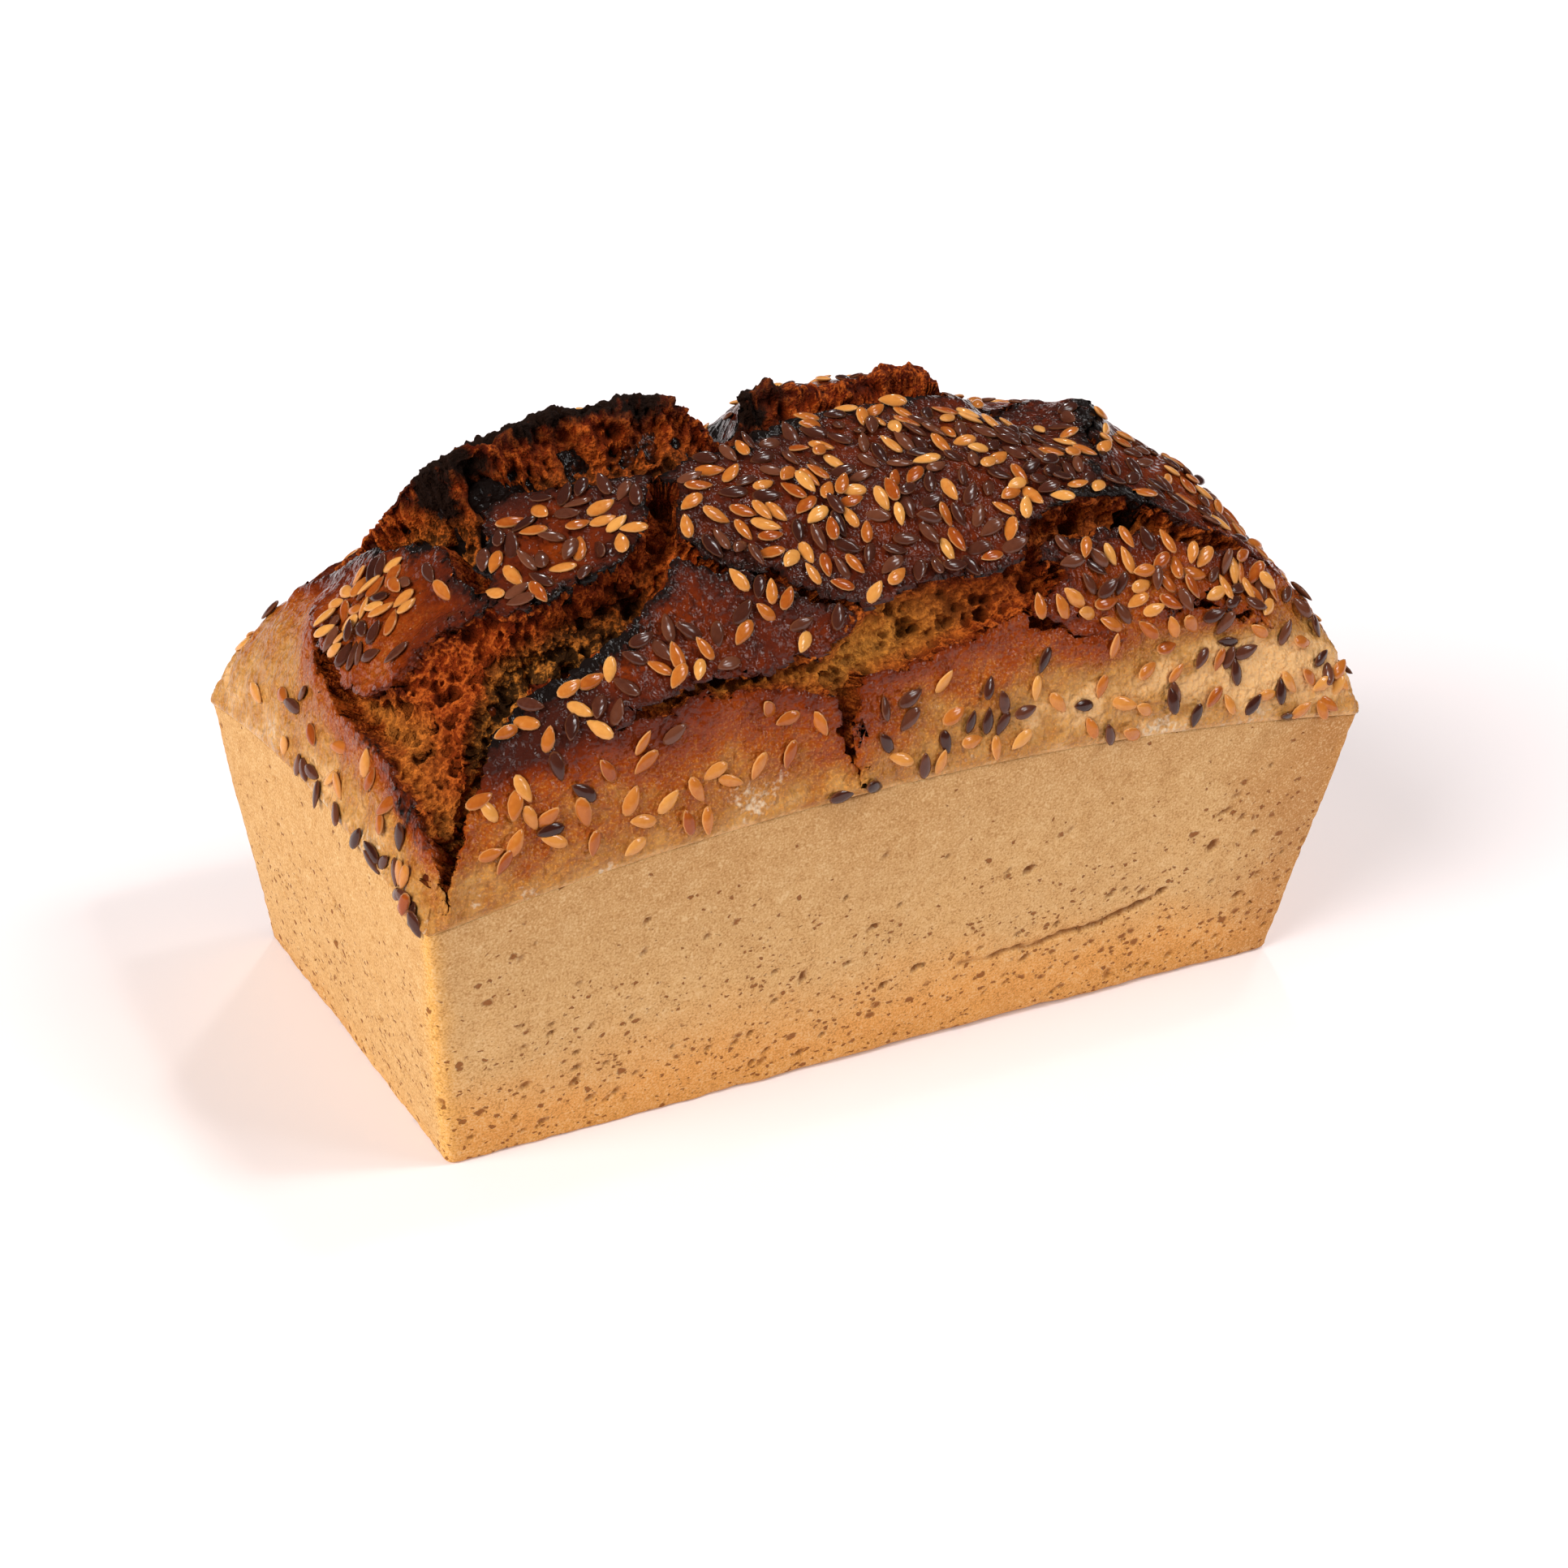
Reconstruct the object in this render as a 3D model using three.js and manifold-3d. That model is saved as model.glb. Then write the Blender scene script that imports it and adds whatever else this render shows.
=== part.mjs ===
// Rye loaf baked in a tapered tin: a flat base, four leaning walls pressed by the tin, and a domed top
// whose dark crust has burst open in long tears, with linseed baked on. Millimetres, +Z up, +X along the
// loaf, origin at the middle of the base. The whole loaf, its seeds included, is one closed solid.

import * as THREE from 'three';
import Module from 'manifold-3d';

const wasm = await Module();
wasm.setup();

// ---- driving sizes -------------------------------------------------------------------------------------

const BASE_HALF_LENGTH = 92.3;
const BASE_HALF_WIDTH = 44.4;
const END_WALL_LEAN = 0.146; // how far an end wall leans out for each millimetre of height
const SIDE_WALL_LEAN = 0.167;
const WALL_CORNER_RADIUS = 1.6;

const RIM_HEIGHT = 54; // where the tin ended and the open top begins, at the corners
const RIM_TILT_ALONG = 1.0; // the rim is this much higher at the +X end than in the middle
const RIM_TILT_ACROSS = -2.5;
const SIDE_RIM_BOW = 8.5; // the rim line climbs in the middle of each long side
const END_RIM_BOW = 5.0;
const CROWN_HEIGHT = 117.5;

// The dome is full near its middle and falls off towards the rim. Each pair shapes one direction.
const DOME_POWER_ALONG = 2.85;
const DOME_ROOT_ALONG = 1.72;
const DOME_POWER_ACROSS = 2.2;
const DOME_ROOT_ACROSS = 1.8;
const CORNER_FULLNESS = 0.5; // 0 would let the dome sink towards the four corners

// Places on the dome are given over the crust: millimetres along the loaf and across it, measured on the
// skin from the crown. The rim lies at these two distances.
const CROWN_TO_END = 124;
const CROWN_TO_SIDE = 89;

const CELLS_ALONG = 60;
const CELLS_ACROSS = 44;

// Broad swellings and hollows of the crust: place, reach in each direction and height.
const SWELLS = [
  { along: 43, across: 12, reachAlong: 17, reachAcross: 30, height: -6 }, // sunken right shoulder of the top
  { along: -7, across: 17, reachAlong: 4, reachAcross: 16, height: -5 }, // notch between the two torn crests
  { along: -72, across: 40, reachAlong: 16, reachAcross: 18, height: -3 }, // slack skin behind the left end
  { along: -50, across: -58, reachAlong: 34, reachAcross: 12, height: 1.6 }, // swollen skin by the tear
  { along: -84, across: -4, reachAlong: 9, reachAcross: 14, height: 1.8 }, // plate beside the left end
  { along: -50, across: -12, reachAlong: 11, reachAcross: 8, height: 1.6 }, // charred plate left of centre
  { along: 2, across: -32, reachAlong: 30, reachAcross: 14, height: 1.2 }, // large seeded plate
  { along: 48, across: -54, reachAlong: 30, reachAcross: 9, height: 1.8 }, // seeded plate on the right
];

// Torn crests: the skin behind the long tear stands up in two ridges. Points are along, across, height.
const CRESTS = [
  [[-72, 40, 0], [-64, 26, 3.5], [-56, 18, 5.5], [-48, 15, 6], [-34, 15, 4.5], [-22, 15, 3], [-12, 14, 0]],
  [[-6, 13, 0], [-2, 13, 3], [8, 13, 1], [18, 13, 1.5], [26, 13, 3], [31, 13, 0]],
];
const CREST_FRONT_REACH = 5;
const CREST_BACK_REACH = 16;

// Tears in the crust: each is a path of along, across and half width, with the depth it reaches.
const TEARS = [
  {
    name: 'corner tear',
    depth: 12,
    path: [
      [-101, -77, 1], [-92, -58, 4.5], [-88, -45, 8], [-81, -38, 10.5], [-70, -35, 10], [-58, -38, 9],
      [-49, -38, 7], [-41, -35, 5.5], [-35, -28, 3.5], [-31, -18, 4],
    ],
  },
  {
    name: 'crest tear',
    depth: 13,
    path: [
      [-80, 46, 2], [-71, 32, 6], [-65, 18, 8.5], [-60, 8, 9.5], [-48, 6, 9], [-40, 3, 12], [-30, 0, 14],
      [-20, 1, 13], [-9, 4, 10], [2, 4, 8.5], [16, 4, 8], [26, 5, 6.5], [36, 7, 3.5], [44, 8, 1.5],
    ],
  },
  {
    name: 'left gap',
    depth: 5,
    path: [[-90, 20, 1], [-95, 9, 2.2], [-97, -2, 3], [-97, -14, 3], [-93, -26, 2.5]],
  },
  { name: 'plate gap', depth: 9, path: [[-61, 3, 6], [-64, -10, 4], [-65, -21, 1]] },
  {
    name: 'front slit',
    depth: 5,
    path: [[-53, -60, 0.6], [-42, -59, 1.2], [-24, -60, 2], [-17, -62, 3.5], [-12, -60, 5]],
  },
  {
    name: 'front tear',
    depth: 8,
    path: [[-12, -60, 5], [-6, -58, 6.5], [3, -56, 6], [11, -55, 5], [24, -51, 2.5]],
  },
  {
    name: 'right tear',
    depth: 8,
    path: [
      [19, -51, 2], [24, -43, 3], [34, -41, 4.5], [45, -40, 5], [52, -44, 5], [65, -45, 3.5], [92, -53, 1.4],
    ],
  },
  { name: 'split', depth: 5, path: [[-13, -63, 3], [-14, -72, 2.3], [-13, -81, 1.3], [-12, -87, 0.4]] },
];
const DEPTH_PER_HALF_WIDTH = 1.9; // a narrow end of a tear is also a shallow one
const FAR_WALL_SHARE = 0.75; // share of the half width that the wall on the far side takes up
const NEAR_WALL_SHARE = 0.35;
const LIP_HEIGHT = 1.4; // the crust curls up along a tear
const LIP_REACH = 3.5;

const LINSEED = { length: 5.4, width: 2.8, height: 1.1 }; // the part that stands out of the crust
const SEED_SIDES = 4;
const SEED_BANDS = 3;
const SEED_SPACING = 6.0; // least distance between the middles of two seeds
const SEED_TEAR_CLEARANCE = 1.8;
const SEED_DRAW = 20117;

// Where linseed lies: middle and reach of each seeded patch over the crust, and how many seeds it has.
const SEED_PATCHES = [
  { along: 4, across: -30, reachAlong: 32, reachAcross: 20, count: 34 },
  { along: -50, across: -16, reachAlong: 16, reachAcross: 9, count: 9 },
  { along: -84, across: -4, reachAlong: 11, reachAcross: 20, count: 11 },
  { along: 50, across: -62, reachAlong: 34, reachAcross: 13, count: 20 },
  { along: 58, across: -20, reachAlong: 26, reachAcross: 18, count: 15 },
  { along: -58, across: -52, reachAlong: 26, reachAcross: 8, count: 8 },
  { along: -50, across: -74, reachAlong: 42, reachAcross: 9, count: 13 },
  { along: 30, across: -76, reachAlong: 44, reachAcross: 8, count: 13 },
  { along: -108, across: -20, reachAlong: 9, reachAcross: 44, count: 11 },
  { along: 106, across: -14, reachAlong: 11, reachAcross: 50, count: 10 },
  { along: 0, across: 46, reachAlong: 92, reachAcross: 26, count: 26 },
];

// ---- the plain form: plan, rim and dome ----------------------------------------------------------------

const RIM_HALF_LENGTH = BASE_HALF_LENGTH + END_WALL_LEAN * RIM_HEIGHT;
const RIM_HALF_WIDTH = BASE_HALF_WIDTH + SIDE_WALL_LEAN * RIM_HEIGHT;

/** Rounds the corners of the rectangular plan: a point in a corner square is drawn into a quarter disc. */
function planPoint(u, v, halfLength, halfWidth) {
  const x = u * halfLength;
  const y = v * halfWidth;
  const overX = Math.max(Math.abs(x) - (halfLength - WALL_CORNER_RADIUS), 0);
  const overY = Math.max(Math.abs(y) - (halfWidth - WALL_CORNER_RADIUS), 0);
  if (overX === 0 || overY === 0) return [x, y];
  const squeeze = Math.max(overX, overY) / Math.hypot(overX, overY);
  return [x - Math.sign(x) * overX * (1 - squeeze), y - Math.sign(y) * overY * (1 - squeeze)];
}

/** Height of the rim line, and of its smooth continuation inside the loaf, at plan position u, v in -1..1. */
function rimHeight(u, v) {
  const sideMiddle = 1 - u * u;
  const endMiddle = 1 - v * v;
  const bow = SIDE_RIM_BOW * sideMiddle + END_RIM_BOW * endMiddle * (1 - sideMiddle);
  return RIM_HEIGHT + RIM_TILT_ALONG * u + RIM_TILT_ACROSS * v + bow;
}

/** Share of the dome's full rise at u, v: 1 at the crown and 0 all along the rim. */
function domeRise(u, v) {
  const riseAlong = (1 - Math.abs(u) ** DOME_POWER_ALONG) ** (1 / DOME_ROOT_ALONG);
  const riseAcross = (1 - Math.abs(v) ** DOME_POWER_ACROSS) ** (1 / DOME_ROOT_ACROSS);
  if (!(riseAlong > 0 && riseAcross > 0)) return 0;
  return (riseAlong ** -CORNER_FULLNESS + riseAcross ** -CORNER_FULLNESS - 1) ** (-1 / CORNER_FULLNESS);
}

/** Point of the unbroken dome at a place over the crust. */
function domePoint(along, across) {
  const u = Math.sin((along / CROWN_TO_END) * (Math.PI / 2));
  const v = Math.sin((across / CROWN_TO_SIDE) * (Math.PI / 2));
  const rim = rimHeight(u, v);
  const [x, y] = planPoint(u, v, RIM_HALF_LENGTH, RIM_HALF_WIDTH);
  return new THREE.Vector3(x, y, rim + (CROWN_HEIGHT - rim) * domeRise(u, v));
}

/** Outward normal of a surface given as a function of a place over the crust. */
function outwardNormal(surface, along, across, step) {
  const inside = (value, limit) => THREE.MathUtils.clamp(value, -limit, limit);
  const right = surface(inside(along + step, CROWN_TO_END), across);
  const left = surface(inside(along - step, CROWN_TO_END), across);
  const back = surface(along, inside(across + step, CROWN_TO_SIDE));
  const front = surface(along, inside(across - step, CROWN_TO_SIDE));
  return right.sub(left).cross(back.sub(front)).normalize();
}

// ---- relief of the crust -------------------------------------------------------------------------------

/** Nearest place on a path of [along, across, size] points: distance, side (+1 for far) and size there. */
function nearestOnPath(path, along, across) {
  let best = { distance: Infinity, side: 1, size: 0 };
  for (let i = 0; i + 1 < path.length; i++) {
    const [startAlong, startAcross, startSize] = path[i];
    const [endAlong, endAcross, endSize] = path[i + 1];
    const runAlong = endAlong - startAlong;
    const runAcross = endAcross - startAcross;
    const forward = (along - startAlong) * runAlong + (across - startAcross) * runAcross;
    const share = THREE.MathUtils.clamp(forward / (runAlong ** 2 + runAcross ** 2), 0, 1);
    const offAlong = along - startAlong - share * runAlong;
    const offAcross = across - startAcross - share * runAcross;
    const distance = Math.hypot(offAlong, offAcross);
    const size = startSize + share * (endSize - startSize);
    if (distance < best.distance) {
      const towardsFar = (offAcross * runAlong - offAlong * runAcross) * (runAlong < 0 ? -1 : 1);
      best = { distance, side: towardsFar < 0 ? -1 : 1, size };
    }
  }
  return best;
}

/** Depth of the tears at a place, and the distance from there to the nearest edge of a tear. */
function tearAt(along, across) {
  let depth = 0;
  let edgeDistance = Infinity;
  for (const tear of TEARS) {
    const near = nearestOnPath(tear.path, along, across);
    edgeDistance = Math.min(edgeDistance, near.distance - near.size);
    if (near.distance >= near.size) continue;
    const inset = 1 - near.distance / near.size;
    const wallShare = near.side > 0 ? FAR_WALL_SHARE : NEAR_WALL_SHARE;
    const fall = Math.sin(Math.min(inset / wallShare, 1) * (Math.PI / 2));
    depth = Math.max(depth, Math.min(tear.depth, near.size * DEPTH_PER_HALF_WIDTH) * fall);
  }
  return { depth, edgeDistance };
}

function swellAt(along, across) {
  let height = 0;
  for (const swell of SWELLS) {
    const offAlong = (along - swell.along) / swell.reachAlong;
    const offAcross = (across - swell.across) / swell.reachAcross;
    height += swell.height * Math.exp(-(offAlong ** 2) - offAcross ** 2);
  }
  return height;
}

function crestAt(along, across) {
  let height = 0;
  for (const crest of CRESTS) {
    const near = nearestOnPath(crest, along, across);
    const reach = near.side > 0 ? CREST_BACK_REACH : CREST_FRONT_REACH;
    height = Math.max(height, near.size * Math.exp(-((near.distance / reach) ** 2)));
  }
  return height;
}

/** Height of the real crust over the unbroken dome. It fades out at the rim, where the tin held the dough. */
function reliefAt(along, across) {
  const toRim = Math.min(CROWN_TO_END - Math.abs(along), CROWN_TO_SIDE - Math.abs(across));
  const fade = THREE.MathUtils.smoothstep(toRim, 0, LIP_REACH);
  const { depth, edgeDistance } = tearAt(along, across);
  const lip = LIP_HEIGHT * Math.exp(-((Math.max(edgeDistance, 0) / LIP_REACH) ** 2));
  return fade * (swellAt(along, across) + crestAt(along, across) + lip - depth);
}

function crustPoint(along, across) {
  const point = domePoint(along, across);
  const normal = outwardNormal(domePoint, along, across, 1);
  return point.addScaledVector(normal, reliefAt(along, across));
}

// ---- the body: crust, walls and base in one closed mesh ------------------------------------------------

function loafBody() {
  const positions = [];
  const triangles = [];
  const columns = CELLS_ALONG + 1;
  for (let row = 0; row <= CELLS_ACROSS; row++) {
    for (let column = 0; column <= CELLS_ALONG; column++) {
      const along = ((2 * column) / CELLS_ALONG - 1) * CROWN_TO_END;
      const across = ((2 * row) / CELLS_ACROSS - 1) * CROWN_TO_SIDE;
      positions.push(...crustPoint(along, across).toArray());
    }
  }
  for (let row = 0; row < CELLS_ACROSS; row++) {
    for (let column = 0; column < CELLS_ALONG; column++) {
      const first = row * columns + column;
      triangles.push(...splitCell(positions, first, first + 1, first + columns + 1, first + columns));
    }
  }

  const rim = rimLoop(columns);
  const baseStart = positions.length / 3;
  for (const { u, v } of rim) positions.push(...planPoint(u, v, BASE_HALF_LENGTH, BASE_HALF_WIDTH), 0);
  const baseMiddle = positions.length / 3;
  positions.push(0, 0, 0);
  rim.forEach(({ vertex }, i) => {
    const next = (i + 1) % rim.length;
    const foot = baseStart + i;
    const nextFoot = baseStart + next;
    const nextVertex = rim[next].vertex;
    triangles.push(foot, nextFoot, nextVertex, foot, nextVertex, vertex);
    triangles.push(baseMiddle, nextFoot, foot);
  });
  return solidFrom(positions, triangles);
}

/** Splits a four-cornered cell along its shorter diagonal, which keeps ridges from turning jagged. */
function splitCell(positions, a, b, c, d) {
  const corner = (index) => new THREE.Vector3().fromArray(positions, 3 * index);
  const acIsShorter = corner(a).distanceTo(corner(c)) < corner(b).distanceTo(corner(d));
  return acIsShorter ? [a, b, c, a, c, d] : [a, b, d, b, c, d];
}

/** The border of the crust grid, anticlockwise from above, each entry with its plan position. */
function rimLoop(columns) {
  const loop = [];
  const add = (row, column) => {
    const u = Math.sin(((2 * column) / CELLS_ALONG - 1) * (Math.PI / 2));
    const v = Math.sin(((2 * row) / CELLS_ACROSS - 1) * (Math.PI / 2));
    loop.push({ vertex: row * columns + column, u, v });
  };
  for (let column = 0; column < CELLS_ALONG; column++) add(0, column);
  for (let row = 0; row < CELLS_ACROSS; row++) add(row, CELLS_ALONG);
  for (let column = CELLS_ALONG; column > 0; column--) add(CELLS_ACROSS, column);
  for (let row = CELLS_ACROSS; row > 0; row--) add(row, 0);
  return loop;
}

function solidFrom(positions, triangles) {
  const mesh = new wasm.Mesh({
    numProp: 3,
    vertProperties: Float32Array.from(positions),
    triVerts: Uint32Array.from(triangles),
  });
  mesh.merge();
  return new wasm.Manifold(mesh);
}

// ---- linseed -------------------------------------------------------------------------------------------

/** Repeatable random numbers in 0..1, by a linear congruential generator. */
function seededDraw(start) {
  const multiplier = 1664525;
  const increment = 1013904223;
  const modulus = 2 ** 32;
  let state = start;
  return () => {
    state = (state * multiplier + increment) % modulus;
    return state / modulus;
  };
}

/** Places for the seeds: drawn inside each patch, clear of the tears, of the rim and of each other. */
function seedPlaces() {
  const draw = seededDraw(SEED_DRAW);
  const places = [];
  const triesPerSeed = 60;
  const lastAlong = CROWN_TO_END - LINSEED.length;
  const lastAcross = CROWN_TO_SIDE - LINSEED.width;
  for (const patch of SEED_PATCHES) {
    let left = patch.count;
    for (let tries = patch.count * triesPerSeed; tries > 0 && left > 0; tries--) {
      const angle = draw() * 2 * Math.PI;
      const radius = Math.sqrt(draw());
      const along = patch.along + patch.reachAlong * radius * Math.cos(angle);
      const across = patch.across + patch.reachAcross * radius * Math.sin(angle);
      const turn = draw() * 2 * Math.PI;
      if (Math.abs(along) > lastAlong || Math.abs(across) > lastAcross) continue;
      if (tearAt(along, across).edgeDistance < SEED_TEAR_CLEARANCE) continue;
      const middle = crustPoint(along, across);
      if (places.some((place) => place.middle.distanceTo(middle) < SEED_SPACING)) continue;
      places.push({ middle, normal: outwardNormal(crustPoint, along, across, LINSEED.width), turn });
      left--;
    }
  }
  return places;
}

/** A linseed baked in to above its middle: a flat drop, rounded at one end and pointed at the other. */
function seedSolid({ middle, normal, turn }) {
  const pointedness = 0.35;
  const buried = 0.15; // share of the half height under the crust
  const drop = new THREE.SphereGeometry(1, SEED_SIDES, SEED_BANDS);
  drop.rotateZ(-Math.PI / 2);
  const corners = drop.attributes.position;
  for (let i = 0; i < corners.count; i++) {
    corners.setY(i, corners.getY(i) * (1 - pointedness * Math.max(corners.getX(i), 0)));
  }
  drop.scale(LINSEED.length / 2, LINSEED.width / 2, LINSEED.height / (1 - buried));
  drop.translate(0, 0, -buried * LINSEED.height);
  drop.rotateZ(turn);
  drop.applyQuaternion(new THREE.Quaternion().setFromUnitVectors(new THREE.Vector3(0, 0, 1), normal));
  drop.translate(...middle.toArray());
  return solidFrom(drop.attributes.position.array, drop.index.array);
}

// ---- the finished loaf ---------------------------------------------------------------------------------

function loafSolid() {
  let solid = loafBody();
  for (const place of seedPlaces()) solid = solid.add(seedSolid(place));
  return solid;
}

/** The largest single body of a solid, as three.js geometry. */
function geometryFrom(solid) {
  const bodies = solid.decompose().sort((one, other) => other.volume() - one.volume());
  const mesh = bodies[0].getMesh();
  const geometry = new THREE.BufferGeometry();
  geometry.setAttribute('position', new THREE.BufferAttribute(mesh.vertProperties, mesh.numProp));
  geometry.setIndex(new THREE.BufferAttribute(mesh.triVerts, 1));
  geometry.computeVertexNormals();
  return geometry;
}

const crustMaterial = new THREE.MeshStandardMaterial({ color: '#9a5a2c', roughness: 0.75, metalness: 0 });
const loaf = new THREE.Mesh(geometryFrom(loafSolid()), crustMaterial);
loaf.name = 'loaf';

const part = new THREE.Group();
part.add(loaf);

export default part;
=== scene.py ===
"""Looks of a tin-baked rye loaf with a burst, dark crust and linseed on top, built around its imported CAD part.

Sizes are millimetres inside the classes and metres in the meshes. +Z is up, +X runs along the loaf and the
origin is the middle of its base. Spots are places on the domed top, given over the crust: millimetres along
and across, measured on the skin from the crown, as the two rows of a (2, n) array.
"""

import logging
import math
from collections.abc import Callable, Iterator, Sequence
from contextlib import contextmanager
from dataclasses import dataclass
from enum import Enum
from functools import partial

import bpy
import numpy as np
from mathutils import Matrix, Vector


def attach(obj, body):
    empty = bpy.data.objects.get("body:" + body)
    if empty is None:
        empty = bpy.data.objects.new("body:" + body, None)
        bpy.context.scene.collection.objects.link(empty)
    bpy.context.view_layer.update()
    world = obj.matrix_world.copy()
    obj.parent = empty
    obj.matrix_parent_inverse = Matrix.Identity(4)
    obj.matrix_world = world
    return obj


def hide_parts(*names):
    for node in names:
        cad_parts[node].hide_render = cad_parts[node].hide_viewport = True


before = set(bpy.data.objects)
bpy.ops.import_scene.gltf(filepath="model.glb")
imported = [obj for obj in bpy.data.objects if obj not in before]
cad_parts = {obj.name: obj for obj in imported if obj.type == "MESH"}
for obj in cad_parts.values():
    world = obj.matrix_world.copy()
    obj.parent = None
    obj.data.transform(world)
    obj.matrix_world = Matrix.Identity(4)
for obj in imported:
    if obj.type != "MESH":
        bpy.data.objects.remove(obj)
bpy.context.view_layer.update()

log = logging.getLogger("rye loaf")

Array = np.ndarray
Piece = bpy.types.Object
Socket = bpy.types.NodeSocket
Stops = tuple[tuple[float, str], ...]

MM = 0.001
QUARTER_TURN = math.pi / 2
NODE = "loaf"
BODY = "root"


# ---- small helpers ----


def linear(colour: str) -> tuple[float, float, float, float]:
    """Turns an sRGB hex colour into the linear red, green, blue and alpha that shaders use."""
    channels = []
    for start in (1, 3, 5):
        value = int(colour[start : start + 2], 16) / 255
        channels.append(value / 12.92 if value <= 0.04045 else ((value + 0.055) / 1.055) ** 2.4)
    return (*channels, 1.0)


def smoothstep(values: Array, low: float, high: float) -> Array:
    """Eases from 0 at low to 1 at high; low may be the larger one."""
    share = np.clip((values - low) / (high - low), 0.0, 1.0)
    return share * share * (3.0 - 2.0 * share)


def lattice_draws(cell: Array, salt: int) -> Array:
    """Mixes (n, 3) lattice corners into repeatable (n, 3) random numbers of 0..1; salt picks the pattern."""
    corner = cell.astype(np.int64).astype(np.uint32)
    bits = np.full(len(cell), (salt * 0x9E3779B9) & 0xFFFFFFFF, np.uint32)
    for axis, factor in enumerate((0x8DA6B343, 0xD8163841, 0xCB1AB31F)):
        bits ^= corner[:, axis] * np.uint32(factor)
    for shift, factor in ((15, 0x2C1B3C6D), (12, 0x297A2D39), (15, 1)):
        bits ^= bits >> np.uint32(shift)
        bits *= np.uint32(factor)
    return np.stack([(bits >> np.uint32(10 * k)) & np.uint32(1023) for k in range(3)], axis=1) / 1023.0


def noise(points: Array, size: float, salt: int) -> Array:
    """Gradient noise of about -1..1.

    Args:
        points: (n, 3) places in millimetres.
        size: width of one lump in millimetres.
        salt: tells one pattern from another.

    Returns:
        n noise values.
    """
    scaled = points / size
    cell = np.floor(scaled)
    part = scaled - cell
    ease = part**3 * (part * (part * 6.0 - 15.0) + 10.0)
    total = np.zeros(len(points))
    for k in range(8):
        corner = np.array([k & 1, (k >> 1) & 1, k >> 2], float)
        gradient = lattice_draws(cell + corner, salt) * 2.0 - 1.0
        weight = np.prod(np.where(corner > 0, ease, 1.0 - ease), axis=1)
        total += weight * np.sum(gradient * (part - corner), axis=1)
    return total * 1.7


def noises(points: Array, *layers: tuple[float, float, int]) -> Array:
    """Adds up noises, each given as its strength, size and salt."""
    return sum(strength * noise(points, size, salt) for strength, size, salt in layers)


def bubble_noise(points: Array, size: float, salt: int) -> Array:
    """Distance to the nearest of scattered points, one in each lattice cell, as a share of the cell size."""
    scaled = points / size
    cell = np.floor(scaled)
    nearest = np.full(len(points), 9.0)
    for k in range(27):
        neighbour = cell + np.array([k % 3 - 1, (k // 3) % 3 - 1, k // 9 - 1], float)
        middle = neighbour + lattice_draws(neighbour, salt)
        nearest = np.minimum(nearest, np.sum((middle - scaled) ** 2, axis=1))
    return np.sqrt(nearest)


def flat_points(spots: Sequence[Array]) -> Array:
    """Spots as (n, 3) points at height 0, for the noise functions."""
    return np.stack([*spots, np.zeros_like(spots[0])], axis=1)


def normals_of(surface: Callable[[Array], Array], spots: Array, step: float) -> Array:
    """(n, 3) outward unit normals of a surface, from its points a step away on each side of the spots."""
    ahead, aside = step * np.eye(2)[:, :, None]
    normal = np.cross(surface(spots + ahead) - surface(spots - ahead),
                      surface(spots + aside) - surface(spots - aside))
    return normal / np.linalg.norm(normal, axis=1, keepdims=True)


def read_all(elements: Sequence, name: str, width: int = 1, kind: type = float) -> Array:
    """Reads a property of every vertex, edge or face of a mesh, in rows of the given width."""
    flat = np.empty(len(elements) * width, kind)
    elements.foreach_get(name, flat)
    return flat.reshape(-1, width) if width > 1 else flat


def get_points(piece: Piece) -> Array:
    """The (n, 3) vertex places of a piece, in the mesh's own units."""
    return read_all(piece.data.vertices, "co", 3)


def set_points(piece: Piece, points: Array) -> None:
    """Writes (n, 3) places in millimetres into a piece, as metres."""
    piece.data.vertices.foreach_set("co", (points * MM).ravel())
    piece.data.update()


def set_shades(piece: Piece, **shades: Array) -> None:
    """Stores numbers for each vertex under their names, for the piece's material to read."""
    for name, values in shades.items():
        layer = piece.data.attributes.new(name, "FLOAT", "POINT")
        layer.data.foreach_set("value", values.astype(np.float32))


def select_only(piece: Piece | None = None) -> None:
    """Leaves edit mode and selects one piece, or nothing."""
    if bpy.context.object and bpy.context.object.mode != "OBJECT":
        bpy.ops.object.mode_set(mode="OBJECT")
    bpy.ops.object.select_all(action="DESELECT")
    if piece:
        piece.select_set(True)
        bpy.context.view_layer.objects.active = piece


@contextmanager
def edit_mode(piece: Piece, kind: str = "EDGE", chosen: Array | None = None) -> Iterator[None]:
    """Opens a piece in edit mode for as long as the with block lasts.

    Args:
        piece: the piece to edit.
        kind: EDGE or FACE, what is selected.
        chosen: one flag for each edge or face; nothing is selected without it.
    """
    select_only(piece)
    bpy.ops.object.mode_set(mode="EDIT")
    bpy.ops.mesh.select_mode(type=kind)
    bpy.ops.mesh.select_all(action="DESELECT")
    if chosen is not None:
        bpy.ops.object.mode_set(mode="OBJECT")
        elements = piece.data.edges if kind == "EDGE" else piece.data.polygons
        elements.foreach_set("select", chosen)
        bpy.ops.object.mode_set(mode="EDIT")
    yield
    bpy.ops.object.mode_set(mode="OBJECT")


def new_grid(name: str, cells_wide: int, cells_high: int) -> Piece:
    """Adds a flat grid with this many cells along X and Y, which reaches from -1 to 1 both ways."""
    select_only()
    bpy.ops.mesh.primitive_grid_add(x_subdivisions=cells_wide, y_subdivisions=cells_high, size=2)
    grid = bpy.context.object
    grid.name = grid.data.name = name
    return grid


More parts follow.
